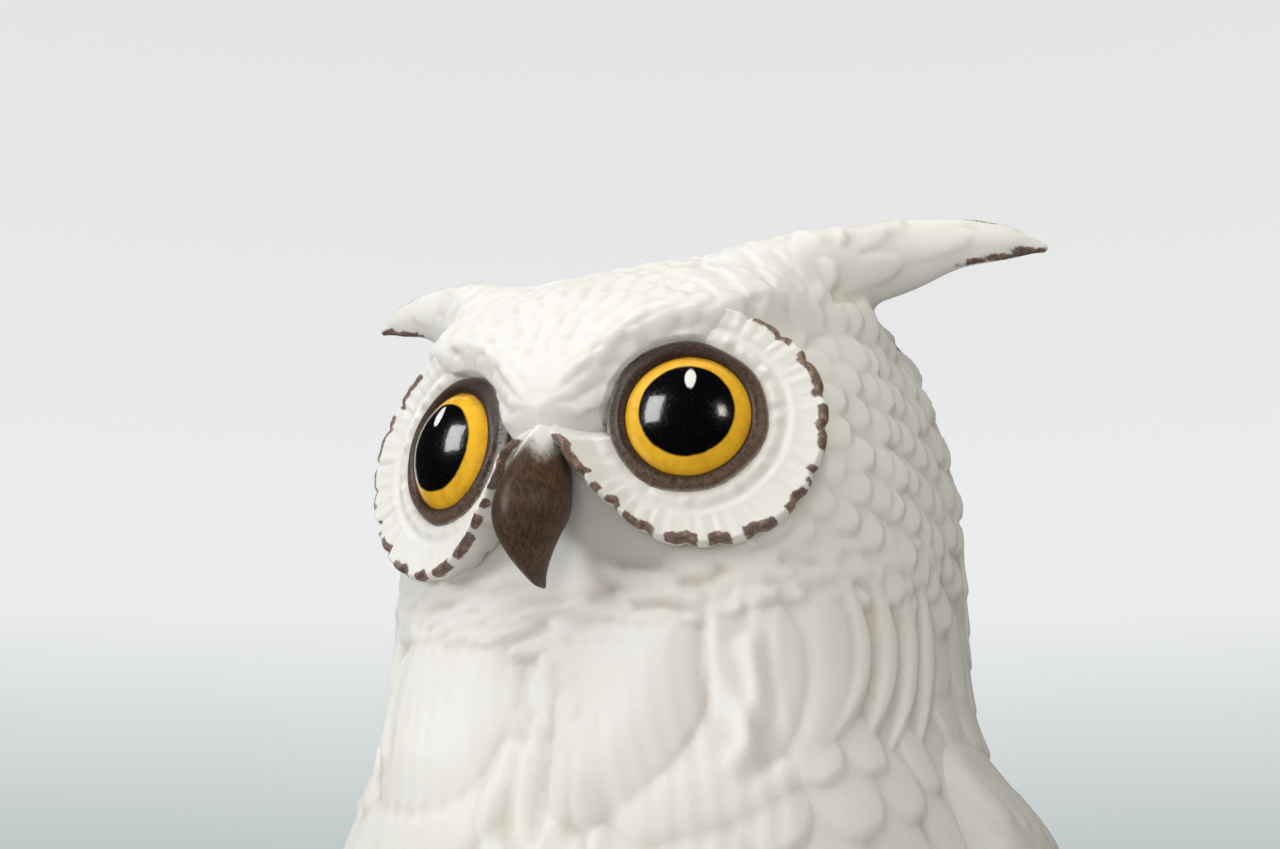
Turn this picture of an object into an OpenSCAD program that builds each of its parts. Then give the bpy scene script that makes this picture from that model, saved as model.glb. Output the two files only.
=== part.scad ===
// Horned owl figurine in slip-cast bisque porcelain, perched on a tree stump.
// Each casting is its own solid, as it stands on the bench before it is luted to the next.
// Millimetres. Origin at the centre of the stump's underside, +Z up, the owl faces -Y.

/* [Overall] */
// Height from the underside of the stump to the top of the ear tufts
figure_h = 334; // [326:1:350]
// Height of the tree stump
stump_h = 44; // [30:1:60]
// Height of the neck seam above the underside
neck_z = 227; // [200:1:250]
// Height of the eye centres above the underside
eye_z = 279; // [265:1:300]

/* [Body] */
// Width of the body casting, without the wings
body_w = 154; // [130:1:190]
// Front-to-back depth of the body casting
body_d = 128; // [105:1:155]
// Width of the seat of the body on the stump
seat_w = 84; // [64:1:100]
// Thickness of the cast porcelain wall
wall = 4.5; // [3:0.25:6]
// Height of the locating lip inside the neck seam
lip_h = 5; // [3:0.5:8]
// Clearance between castings that locate in each other
fit_gap = 0.3; // [0.1:0.05:0.6]
// Diameter of the vent holes that let the kiln gases out
vent_d = 9; // [5:0.5:12]
// Distance of the vent holes behind the middle of the seat
vent_y = 17; // [10:1:20]

/* [Head] */
// Width of the head
head_w = 124; // [104:1:148]
// Depth of the head from its axis to the back
head_back = 60; // [50:1:72]
// Depth of the head from its axis to the face
head_front = 53; // [45:1:62]
// Height of the crown above the eye centres
crown_rise = 51; // [44:1:56]
// How far the brow stands out over the face
brow_rise = 12; // [6:0.5:14]
// How far the bridge between the eyes stands out beyond the brow
bridge_rise = 5; // [2:0.5:7]

/* [Eyes] */
// Diameter of each glazed eye
eye_d = 25.6; // [20:0.2:30]
// Radius of the eye's domed front
eye_dome_r = 17; // [15:0.5:30]
// Distance from the middle of the face to each eye centre
eye_x = 27.3; // [24:0.2:33]
// Distance from the head's axis forward to the eye seat
eye_seat_y = 51.2; // [42:0.5:56]
// Angle that each eye turns outward
eye_turn = 21; // [12:1:30]
// Angle that each eye looks up
eye_lift = 4; // [0:1:10]
// Depth of the blind socket that takes the eye's shank
socket_depth = 4; // [2:0.5:5]
// Width of the raised lid around each eye
lid_w = 3; // [2:0.25:4.5]
// How far the lid stands above the facial disc
lid_h = 2.4; // [1.5:0.1:4]

/* [Facial discs] */
// Radius of each facial disc to the tips of its scallops
disc_r = 27; // [22:0.5:30]
// Thickness of the facial disc at its rim
disc_t = 3.4; // [2.4:0.1:5]
// How far the disc's inner end comes forward on to the bridge
disc_dish = 5; // [3:0.5:6]
// Number of scalloped feathers round each disc
disc_feathers = 15; // [11:1:19]

/* [Beak and tufts] */
// Length of the beak from its root to its tip
beak_l = 30; // [26:1:34]
// Width of the beak at its widest
beak_w = 17; // [12:0.5:20]
// Distance from the middle of the head to each tuft tip
tuft_reach = 86; // [78:1:98]
// Distance of each tuft tip behind the head's axis
tuft_back = 5; // [0:1:14]
// How much higher the right tuft's tip stands than the left one's
tuft_cock = 8; // [0:0.5:9]
// Height of the tuft's root
tuft_root_h = 20; // [16:1:24]

/* [Wings and tail] */
// How far the folded wing stands out from the body
wing_t = 8; // [6:0.5:11]
// Height of the top of the wing's shoulder above the underside
shoulder_z = 223; // [212:1:225]
// Height of the wing tips above the underside
wing_tip_z = 97; // [92:1:112]
// Number of long feathers in each wing
wing_feathers = 6; // [4:1:8]
// Height of the tail's end above the underside
tail_z = 20; // [12:1:40]
// Width of the tail at its end
tail_w = 62; // [44:1:80]
// Number of feathers in the tail
tail_feathers = 7; // [5:1:9]

/* [Feet and stump] */
// Distance between the middles of the feet
foot_pitch = 44; // [34:1:54]
// Diameter of a toe
toe_d = 11; // [8:0.5:13]
// Length of the middle toe in front of the leg
toe_l = 25; // [18:1:30]
// Length of a talon
talon_l = 11; // [8:0.5:14]
// Diameter of a talon at its root
talon_d = 5; // [3.5:0.25:6]
// Width of the stump's top
stump_top_w = 112; // [100:1:130]
// Front-to-back depth of the stump's top
stump_top_d = 104; // [92:1:122]
// How far the roots flare out at the foot of the stump
root_flare = 7; // [3:0.5:12]

/* [Hidden] */

head_sides = 72;                    // points round the head casting
body_sides = 48;                    // points round the body casting
eye_y = -eye_seat_y;                // the eye seat lies in front of the axis
neck_drop = eye_z - neck_z;         // neck seam below the eyes
lid_r = eye_d / 2 + lid_w;
face_wall = wall + socket_depth + 2; // the face is thicker, behind the eye sockets
body_h = neck_z - stump_h;
porcelain = [0.93, 0.92, 0.89];
brown = [0.29, 0.22, 0.18];
horn = [0.24, 0.18, 0.14];

// Profile of the head, one row per height: share of the way from the neck seam
// to the eyes (-1 to 0) or from the eyes to the crown (0 to 1), then shares of
// the half width, of the front and of the back.
HEAD_PROFILE = [
    [-1.00, 1.000, 1.05, 1.00], [-0.72, 0.995, 1.03, 1.00], [-0.45, 0.995, 1.01, 1.00],
    [-0.20, 0.985, 1.00, 0.99], [0.00, 0.960, 1.00, 0.97], [0.24, 0.920, 0.98, 0.92],
    [0.48, 0.850, 0.89, 0.84], [0.70, 0.740, 0.74, 0.74], [0.86, 0.570, 0.53, 0.58],
    [0.96, 0.340, 0.27, 0.34], [1.00, 0.100, 0.07, 0.10]];

// Profile of the body: share of the height from seat to neck, share of the way
// from the seat's half width to the body's, then shares of the half depth at the
// front and at the back.
BODY_PROFILE = [
    [0.00, 0.00, 0.58, 0.52], [0.07, 0.26, 0.72, 0.62], [0.18, 0.56, 0.87, 0.76],
    [0.34, 0.85, 1.00, 0.90], [0.52, 1.00, 1.05, 0.97], [0.70, 0.98, 1.02, 0.98],
    [0.85, 0.83, 0.97, 0.96]];

// A point between stations i and i + 1 of a list of rows, on a Catmull-Rom curve.
function along(rows, u) =
    let (last = len(rows) - 1, i = min(floor(u), last - 1), f = u - i,
        p0 = rows[max(i - 1, 0)], p1 = rows[i], p2 = rows[i + 1], p3 = rows[min(i + 2, last)])
    p1 + (f * (p2 - p0) + f * f * (2 * p0 - 5 * p1 + 4 * p2 - p3)
        + f * f * f * (3 * p1 - p0 - 3 * p2 + p3)) / 2;

function resample(rows, steps) =
    [for (k = [0:steps]) along(rows, k * (len(rows) - 1) / steps)];

function ease(t) = let (c = min(max(t, 0), 1)) c * c * (3 - 2 * c);

// One ring of a casting: a superellipse of half width a, reaching front and back.
// grow moves it outward, as the wall's inner side does with a minus sign.
squareness = 2.5;
function polar(t, a, b) = pow(pow(abs(cos(t)) / a, squareness)
    + pow(abs(sin(t)) / b, squareness), -1 / squareness);
function ring(z, a, front, back, grow = 0, sides = body_sides) = [for (i = [0:sides - 1])
    let (t = 360 * i / sides, r = polar(t, a, sin(t) < 0 ? front : back) + grow)
    [r * cos(t), r * sin(t), z]];

// The brow stands out from the face above a line that climbs from the bridge
// towards the tufts, and the bridge between the eyes stands out beyond it.
function brow_line(x) = eye_z - 3 + 32 * sin(min(abs(x) * 1.5, 90));
function brow_out(x, z) =
    let (above = z - brow_line(x), side = 1 - ease((abs(x) - 38) / 20),
        over = 1 - ease((z - eye_z) / crown_rise * 2.2 - 1.2))
    brow_rise * side * over * ease(above / 6 + 1)
        + bridge_rise * exp(-pow(x / 9, 2)) * ease((z - eye_z + 34) / 30)
        * (1 - ease((z - eye_z - 2) / 30));
// A closed solid through a stack of rings with equal numbers of points.
module loft(rings) {
    n = len(rings[0]);
    last = len(rings) - 1;
    polyhedron(
        points = [for (r = rings) each r],
        faces = concat(
            [[for (i = [0:n - 1]) i]],
            [for (k = [0:last - 1], i = [0:n - 1])
                [k * n + i, (k + 1) * n + i, (k + 1) * n + (i + 1) % n]],
            [for (k = [0:last - 1], i = [0:n - 1])
                [k * n + i, (k + 1) * n + (i + 1) % n, k * n + (i + 1) % n]],
            [[for (i = [n - 1:-1:0]) last * n + i]]));
}

function head_z(share) = eye_z + share * (share < 0 ? neck_drop : crown_rise);
function head_ring(row, grow = 0, face = 0) = ring(head_z(row[0]),
    row[1] * head_w / 2, row[2] * head_front + face, row[3] * head_back, grow, head_sides);

// The rings over the face bend up and down with the brow line, so the brow's edge
// runs along them.
stations = [for (i = [0:len(HEAD_PROFILE) - 1]) [HEAD_PROFILE[i][0], i]];
function head_polar(t, share) = let (row = along(HEAD_PROFILE, lookup(share, stations)))
    polar(t, row[1] * head_w / 2, sin(t) < 0 ? row[2] * head_front : row[3] * head_back);
function ring_bend(x, share, t) = (brow_line(x) - eye_z - 12) * ease(-2 * sin(t))
    * ease((share + 0.8) / 0.8) * (1 - ease((share - 0.3) / 0.68));
function head_point(t, share0) =
    let (z = head_z(share0) + ring_bend(head_polar(t, share0) * cos(t), share0, t),
        share = (z - eye_z) / (z < eye_z ? neck_drop : crown_rise),
        r = head_polar(t, share), out = sin(t) < 0 ? brow_out(r * cos(t), z) : 0)
    [(r + out) * cos(t), (r + out) * sin(t), z];

head_steps = 30;
function head_outer() = [for (row = resample(HEAD_PROFILE, head_steps))
    [for (i = [0:head_sides - 1]) head_point(360 * i / head_sides, row[0])]];

// The outside of the head as one full solid, for cutting what seats on it.
module head_solid() loft(head_outer());

// The cavity stops a wall short of the crown, and further back behind the face.
cavity_steps = 9;
cavity_share = (crown_rise - wall) / crown_rise;
function squash_rows(rows) = [for (r = rows) [r[0] * (r[0] > 0 ? cavity_share : 1), r[1], r[2], r[3]]];
function head_inner() = [for (row = squash_rows(resample(HEAD_PROFILE, cavity_steps)))
    head_ring(row, -min(wall, row[1] * head_w / 2 - 2), wall - min(face_wall, row[2] * head_front - 2))];

module head_shell() {
    color(porcelain) difference() {
        loft(concat([for (k = [cavity_steps:-1:0]) head_inner()[k]], head_outer()));
        for (side = [1, -1]) at_eye(side) {
            translate([0, 0, -socket_depth]) cylinder(d = eye_d + 2 * fit_gap, h = 40, $fn = 64);
            cylinder(r = lid_r + fit_gap, h = 40, $fn = 64);
        }
    }
}

// The body casting: its rings run from the seat up to the neck, and the last one
// is the head's own first ring.
body_steps = 22;
function body_ring(row, grow = 0) = ring(stump_h + row[0] * body_h,
    seat_w / 2 + row[1] * (body_w - seat_w) / 2, row[2] * body_d / 2, row[3] * body_d / 2, grow);
function neck_row() = [1.00,
    (HEAD_PROFILE[0][1] * head_w - seat_w) / (body_w - seat_w),
    HEAD_PROFILE[0][2] * head_front * 2 / body_d, HEAD_PROFILE[0][3] * head_back * 2 / body_d];
function body_rows() = concat(BODY_PROFILE, [neck_row()]);
function body_outer() = [for (row = resample(body_rows(), body_steps)) body_ring(row)];
function body_inner() = [for (k = [10:-1:0])
    let (row = resample(body_rows(), 10)[k], z = stump_h + row[0] * body_h,
        points = body_ring(row, -wall))
    [for (p = points) [p[0], p[1], max(z, stump_h + wall)]]];
// The lip stands inside the head's opening with a small gap.
function lip_ring(z, inset) = let (row = HEAD_PROFILE[0])
    ring(z, row[1] * head_w / 2, row[2] * head_front - face_wall + wall, row[3] * head_back, -inset);

module body_solid() loft(body_outer());

module body_shell() {
    lip_outer = wall + fit_gap;
    lip_inner = 2 * wall;
    inner = body_inner();
    color(porcelain) difference() {
        loft(concat(body_outer(),
            [lip_ring(neck_z, lip_outer), lip_ring(neck_z + lip_h, lip_outer + lip_h * 0.1),
             lip_ring(neck_z + lip_h, lip_inner), lip_ring(neck_z - lip_h, lip_inner)],
            [for (k = [1:10]) inner[k]]));
        translate([0, vent_y, stump_h - 1]) cylinder(d = vent_d, h = wall + 2, $fn = 48);
    }
}

// Places children on an eye's seat, +Z along the way the eye looks. side is 1 for
// the owl's left and -1 for its right.
module on_side(side) {
    if (side < 0) mirror([1, 0, 0]) children();
    else children();
}
module at_eye(side) {
    on_side(side) translate([eye_x, eye_y, eye_z])
        rotate([0, 0, eye_turn]) rotate([90 - eye_lift, 0, 0]) children();
}

// Distance from the eye centre to the disc's rim, at an angle from the outer side:
// longest at the cheek and where the disc runs up to the beak's root.
function disc_reach(t) = disc_r * (0.94 + 0.08 * cos(t + 55)
    + 0.13 * exp(-pow((t + 178) / 20, 2)) - 0.07 * exp(-pow((t + 128) / 20, 2)));
// How far the rim stands in front of the eye's seat: the disc's inner side comes
// forward to the beak's root, and its outer side is swept a little back.
function disc_lift(t) = disc_dish * cos(t) * (0.4 * cos(t) - 0.6);

disc_first = -178;                  // the feathers run from the beak's root, under
disc_last = 60;                     // the eye, to the brow's outer end
module disc_blade(t) {
    tip_w = disc_r * sin((disc_last - disc_first) / disc_feathers / 2) * 1.2;
    hub_w = tip_w * 0.7;
    rotate([0, 0, t]) hull() {
        translate([lid_r - hub_w - 1, 0, -7]) cylinder(r = hub_w, h = 7 + disc_t * 0.6, $fn = 12);
        translate([disc_reach(t) - tip_w, 0, -12])
            cylinder(r = tip_w, h = 12 + disc_t + disc_lift(t), $fn = 14);
    }
}

module facial_disc(side) {
    step = (disc_last - disc_first) / (disc_feathers - 1);
    color(porcelain) difference() {
        at_eye(side) for (k = [0:disc_feathers - 1]) disc_blade(disc_first + k * step);
        head_solid();
        at_eye(side) translate([0, 0, -20]) cylinder(d = eye_d + 2 * fit_gap, h = 40, $fn = 64);
        // A flat ring for the lid to sit on
        at_eye(side) cylinder(r = lid_r + fit_gap, h = 40, $fn = 64);
        beak_solid();
        mirror([side > 0 ? 1 : 0, 0, 0]) translate([-0.2, -150, 0]) cube([150, 300, figure_h]);
    }
}

module eyelid(side) {
    color(brown) at_eye(side) rotate_extrude($fn = 96)
        translate([eye_d / 2 + fit_gap, 0]) difference() {
            square([lid_w - fit_gap, lid_h]);
            translate([lid_w - fit_gap, lid_h]) circle(r = lid_w * 0.45, $fn = 32);
        }
}

module eye(side) {
    dome_rise = eye_dome_r - sqrt(pow(eye_dome_r, 2) - pow(eye_d / 2, 2));
    rim_h = lid_h * 0.7;
    color([0.9, 0.68, 0.08]) at_eye(side) {
        translate([0, 0, -socket_depth]) cylinder(d = eye_d, h = socket_depth + rim_h, $fn = 96);
        translate([0, 0, rim_h]) intersection() {
            translate([0, 0, dome_rise - eye_dome_r]) sphere(r = eye_dome_r, $fn = 96);
            cylinder(d = eye_d, h = dome_rise + 1, $fn = 96);
        }
    }
}

// The beak's front line: out from the bridge, then hooked down and back. Each row
// is a share of the length down, the way out from the bridge and the half width.
BEAK_LINE = [[-0.10, -2.5, 0.30], [0.04, 1.5, 0.52], [0.20, 5.0, 0.78], [0.36, 8.2, 0.95],
    [0.52, 9.8, 1.00], [0.66, 9.4, 0.82], [0.80, 6.6, 0.55], [0.91, 2.6, 0.30], [1.00, -2.4, 0.10]];
beak_root_z = eye_z - 4;
beak_root_y = -(head_front + bridge_rise + 9);
module beak_bead(row) {
    half = row[2] * beak_w / 2;
    translate([0, beak_root_y - row[1] + half, beak_root_z - row[0] * beak_l]) {
        sphere(r = half, $fn = 18);
        translate([0, (1 - row[0]) * 7, 0]) sphere(r = half * 0.9, $fn = 14);
    }
}
module beak_solid() {
    for (k = [0:len(BEAK_LINE) - 2]) hull() {
        beak_bead(BEAK_LINE[k]);
        beak_bead(BEAK_LINE[k + 1]);
    }
}
module beak() {
    color(horn) difference() {
        beak_solid();
        head_solid();
    }
}

// An ear tuft: a row of narrowing beads from the brow's crest to the tip. Each row
// has shares of the way out and back, the rise above the straight line and shares
// of the root's height for the bead's height and thickness.
tuft_root = [head_w * 0.24, -0.49 * head_front, eye_z + crown_rise * 0.68];
TUFT_LINE = [[0.00, 0.00, 0, 0.48, 0.50], [0.14, 0.16, 0.9, 0.51, 0.52], [0.27, 0.32, 1.8, 0.52, 0.48],
    [0.39, 0.49, 3.2, 0.50, 0.40], [0.50, 0.65, 4.4, 0.46, 0.31], [0.60, 0.73, 5.0, 0.40, 0.25],
    [0.69, 0.80, 4.9, 0.32, 0.20], [0.78, 0.86, 4.1, 0.25, 0.15], [0.87, 0.92, 2.8, 0.17, 0.11],
    [0.95, 0.97, 1.2, 0.09, 0.07]];
module tuft_bead(row, tip) {
    step = tip - tuft_root;
    translate(tuft_root + [row[0] * step[0], row[1] * step[1], row[0] * step[2] + row[2]])
        scale([0.8, row[4] / row[3], 1]) sphere(r = row[3] * tuft_root_h, $fn = 20);
}
module tuft_solid(cock) {
    tip = [tuft_reach, tuft_back, figure_h - 9.5 + cock];
    for (k = [0:len(TUFT_LINE) - 2]) hull() {
        tuft_bead(TUFT_LINE[k], tip);
        tuft_bead(TUFT_LINE[k + 1], tip);
    }
    hull() {
        tuft_bead(TUFT_LINE[len(TUFT_LINE) - 1], tip);
        translate(tip - [0.8, 0, 0]) sphere(r = 0.8, $fn = 12);
    }
}
module ear_tuft(side) {
    color(porcelain) on_side(side) difference() {
        tuft_solid(side < 0 ? tuft_cock : 0);
        head_solid();
    }
}

// The folded wing hugs the body: a layer of the body's own shape, standing out by
// wing_t, cut to the outline of the coverts and, thinner, of the long feathers.
module pad(at, size) translate(at) scale(size) sphere(r = 1, $fn = 18);
function wing_grow(z, share) = -2 + (wing_t + 2) * share * ease((shoulder_z - z) / 26 + 0.25);
module body_grown(share) loft([for (row = resample(body_rows(), body_steps))
    body_ring(row, wing_grow(stump_h + row[0] * body_h, share))]);
wing_mid_z = shoulder_z * 0.62 + wing_tip_z * 0.38;
// Outlines seen from the side, in y and z
module covert_outline() hull() {
    translate([4, shoulder_z - 22]) circle(r = 22, $fn = 32);
    translate([8, wing_mid_z]) circle(r = 24, $fn = 32);
    translate([body_d / 2, shoulder_z - 36]) circle(r = 20, $fn = 32);
    translate([body_d / 2, wing_mid_z - 6]) circle(r = 14, $fn = 32);
}
module feather_outline(k) {
    share = k / (wing_feathers - 1);
    tip_r = 42 / wing_feathers;
    hull() {
        translate([14 + 40 * share, wing_mid_z]) circle(r = 18, $fn = 32);
        translate([2 + share * (body_d / 2 + 6), wing_tip_z + tip_r + 30 * pow(1 - share, 1.4)])
            circle(r = tip_r, $fn = 24);
    }
}
module wing_side(side) {
    // The wings' rear edges run together from the shoulders to the tips
    on_side(side) intersection() {
        union() {
            intersection() {
                body_grown(1);
                rotate([90, 0, 90]) linear_extrude(height = body_w) covert_outline();
            }
            intersection() {
                body_grown(0.66);
                rotate([90, 0, 90]) linear_extrude(height = body_w)
                    for (k = [0:wing_feathers - 1]) feather_outline(k);
            }
        }
        rotate([90, 0, 0]) linear_extrude(height = 2 * body_w, center = true)
            polygon([[34, shoulder_z + 5], [4, wing_tip_z + 8], [4, wing_tip_z - 5],
                [body_w, wing_tip_z - 5], [body_w, shoulder_z + 5]]);
    }
}
module wing(side) {
    color(porcelain) difference() {
        wing_side(side);
        body_solid();
    }
}

// The tail: flat feathers fanned from the rump, cut clear of the stump.
module tail_blade(k) {
    share = k / (tail_feathers - 1) * 2 - 1;
    hull() {
        pad([share * tail_w * 0.22, body_d * 0.32, stump_h + body_h * 0.42], [7, 8, 12]);
        pad([share * tail_w * 0.36, body_d * 0.47, stump_h + 12], [tail_w / tail_feathers, 4.5, 16]);
        pad([share * (tail_w / 2 - 5), body_d * 0.50, tail_z + 9 + 6 * abs(share)], [5, 3.5, 9]);
    }
}
module tail_solid() for (k = [0:tail_feathers - 1]) tail_blade(k);
module tail() {
    color(porcelain) difference() {
        tail_solid();
        body_solid();
        stump_solid();
    }
}

// Feet: three toes forward and the hind toe back under the body.
TOE_TURNS = [-34, 0, 30, 180];
foot_y = -0.30 * body_d;
function toe_length(turn) = toe_l * (turn == 180 ? 0.5 : turn == 0 ? 1 : 0.86);
module toe(turn) {
    reach = toe_length(turn);
    toe_r = toe_d / 2;
    rotate([0, 0, turn]) {
        hull() {
            translate([0, 0, toe_r + 2]) sphere(r = toe_r + 2, $fn = 16);
            translate([0, -reach * 0.5, toe_r]) sphere(r = toe_r, $fn = 16);
        }
        hull() {
            translate([0, -reach * 0.5, toe_r]) sphere(r = toe_r, $fn = 16);
            translate([0, -reach, toe_r * 0.85]) sphere(r = toe_r * 0.82, $fn = 16);
        }
    }
}
module foot_solid() {
    translate([foot_pitch / 2, foot_y, stump_h]) for (turn = TOE_TURNS) toe(turn);
}
module foot(side) {
    color(porcelain) difference() {
        on_side(side) foot_solid();
        body_solid();
        stump_solid();
        mirror([side > 0 ? 1 : 0, 0, 0]) translate([-0.5, -150, 0]) cube([150, 300, figure_h]);
    }
}

// A talon curves forward and down from its toe's end.
module talon(turn) {
    reach = toe_length(turn) + toe_d * 0.25;
    root_r = talon_d / 2;
    bend = [[0, 0, 1], [0.36, 0.10, 0.86], [0.68, 0.36, 0.62], [0.92, 0.72, 0.32]];
    rotate([0, 0, turn]) for (k = [0:2]) hull() for (row = [bend[k], bend[k + 1]])
        translate([0, -reach - row[0] * talon_l, toe_d * 0.52 - row[1] * talon_l * 0.62])
            sphere(r = max(root_r * row[2], 0.7), $fn = 10);
}
module talons(side) {
    color(horn) difference() {
        on_side(side) translate([foot_pitch / 2, foot_y, stump_h])
            for (turn = [TOE_TURNS[0], TOE_TURNS[1], TOE_TURNS[2]]) talon(turn);
        on_side(side) foot_solid();
        stump_solid();
        body_solid();
    }
}

// The stump: a hollow casting with flaring roots and a grooved bark.
function bark(t, low) = 1 + 0.018 * sin(9 * t) + 0.012 * sin(23 * t + 40)
    + root_flare / stump_top_w * 2 * low * low * (0.55 + 0.45 * sin(5 * t + 20));
function stump_ring(z, grow = 0) = let (low = 1 - z / stump_h) [for (i = [0:body_sides - 1])
    let (t = 360 * i / body_sides)
    [(stump_top_w / 2 + grow) * bark(t, low) * cos(t), (stump_top_d / 2 + grow) * bark(t, low) * sin(t), z]];
module stump_solid() loft([for (k = [0:7]) stump_ring(stump_h * k / 7)]);
module stump() {
    color([0.86, 0.83, 0.78]) difference() {
        stump_solid();
        translate([0, 0, wall]) cylinder(
            r1 = min(stump_top_w, stump_top_d) / 2 - 2 * wall,
            r2 = min(stump_top_w, stump_top_d) / 2 - 2.4 * wall, h = stump_h - 2 * wall, $fn = 96);
        translate([0, vent_y, -1]) cylinder(d = vent_d, h = stump_h + 2, $fn = 48);
    }
}

head_shell();
body_shell();
facial_disc(1);  // facial_disc_left
facial_disc(-1);  // facial_disc_right
eyelid(1);  // eyelid_left
eyelid(-1);  // eyelid_right
eye(1);  // eye_left
eye(-1);  // eye_right
beak();
ear_tuft(1);  // ear_tuft_left
ear_tuft(-1);  // ear_tuft_right
wing(1);  // wing_left
wing(-1);  // wing_right
tail();
foot(1);  // foot_left
foot(-1);  // foot_right
talons(1);  // talons_left
talons(-1);  // talons_right
stump();
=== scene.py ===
import math
import bmesh
import bpy
import numpy as np
import openvdb
from mathutils import Matrix, Vector


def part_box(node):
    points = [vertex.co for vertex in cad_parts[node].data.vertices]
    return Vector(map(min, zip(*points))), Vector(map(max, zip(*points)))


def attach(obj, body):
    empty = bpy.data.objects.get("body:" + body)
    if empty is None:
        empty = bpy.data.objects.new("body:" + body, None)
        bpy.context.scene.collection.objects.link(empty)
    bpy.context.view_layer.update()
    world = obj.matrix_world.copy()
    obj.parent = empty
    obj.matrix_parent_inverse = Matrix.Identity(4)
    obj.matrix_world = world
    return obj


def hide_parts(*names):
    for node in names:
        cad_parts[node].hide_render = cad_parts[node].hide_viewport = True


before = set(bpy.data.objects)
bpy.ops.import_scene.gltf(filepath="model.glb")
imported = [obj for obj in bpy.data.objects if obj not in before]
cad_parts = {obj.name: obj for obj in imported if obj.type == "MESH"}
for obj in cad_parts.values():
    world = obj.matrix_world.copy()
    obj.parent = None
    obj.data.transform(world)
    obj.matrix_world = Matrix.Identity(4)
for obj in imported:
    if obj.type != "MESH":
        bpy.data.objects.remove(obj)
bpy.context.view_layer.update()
for spare in ("Cube", "Light", "Camera"):  # what a new file opens with
    if spare in bpy.data.objects:
        bpy.data.objects.remove(bpy.data.objects[spare])
print("frame loaded")

mm = 0.001
rng = np.random.default_rng(7)


def levelsOf(node):  # the lowest and the highest level of a CAD node, in millimetres
    low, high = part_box(node)
    return low[2] / mm, high[2] / mm


# The castings' own sizes, in millimetres, and the turn and lift of the eyes in degrees
owl = {
    "crownZ": levelsOf("head_shell")[1],
    "neckZ": levelsOf("head_shell")[0],
    "seatZ": levelsOf("stump")[1],
    "eyeZ": 279.0,
    "headHalf": 62.0,
    "headFront": 53.0,
    "headBack": 60.0,
    "seatHalf": 42.0,
    "bodyHalf": 77.0,
    "bodyDeep": 64.0,
    "squareness": 2.5,
    "browRise": 8.5,
    "browDrop": 3.0,
    "browArch": 32.0,
    "browFade": 51.0,
    "bridgeRise": 5.0,
    "eyeX": 27.3,
    "eyeSeatY": -51.2,
    "eyeTurn": 21.0,
    "eyeLift": 4.0,
}
sides = ((1, "left"), (-1, "right"))

# Share of the height from the eyes (head) or from the seat (body), then of the half width, front and back
headRows = np.array([
    [-1.00, 1.000, 1.05, 1.00], [-0.72, 0.995, 1.03, 1.00], [-0.45, 0.995, 1.01, 1.00],
    [-0.20, 0.985, 1.00, 0.99], [0.00, 0.960, 1.00, 0.97], [0.24, 0.920, 0.98, 0.92],
    [0.48, 0.850, 0.89, 0.84], [0.70, 0.740, 0.74, 0.74], [0.86, 0.570, 0.53, 0.58],
    [0.96, 0.340, 0.27, 0.34], [1.00, 0.100, 0.07, 0.10]])
bodyRows = np.array([
    [0.00, 0.00, 0.58, 0.52], [0.07, 0.26, 0.72, 0.62], [0.18, 0.56, 0.87, 0.76],
    [0.34, 0.85, 1.00, 0.90], [0.52, 1.00, 1.05, 0.97], [0.70, 0.98, 1.02, 0.98],
    [0.85, 0.83, 0.97, 0.96]])


def smooth(t):
    c = np.clip(t, 0.0, 1.0)
    return c * c * (3.0 - 2.0 * c)


def unit(v):
    return v / (np.linalg.norm(v, axis=-1, keepdims=True) + 1e-9)


def catmull(rows, count):  # a smooth run of rows through the given ones
    u = np.linspace(0.0, len(rows) - 1.0, count)
    i = np.minimum(u.astype(int), len(rows) - 2)
    f = (u - i)[:, None]
    p0 = rows[np.maximum(i - 1, 0)]
    p1 = rows[i]
    p2 = rows[i + 1]
    p3 = rows[np.minimum(i + 2, len(rows) - 1)]
    return p1 + (f * (p2 - p0) + f ** 2 * (2 * p0 - 5 * p1 + 4 * p2 - p3)
                 + f ** 3 * (3 * p1 - p0 - 3 * p2 + p3)) / 2


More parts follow.
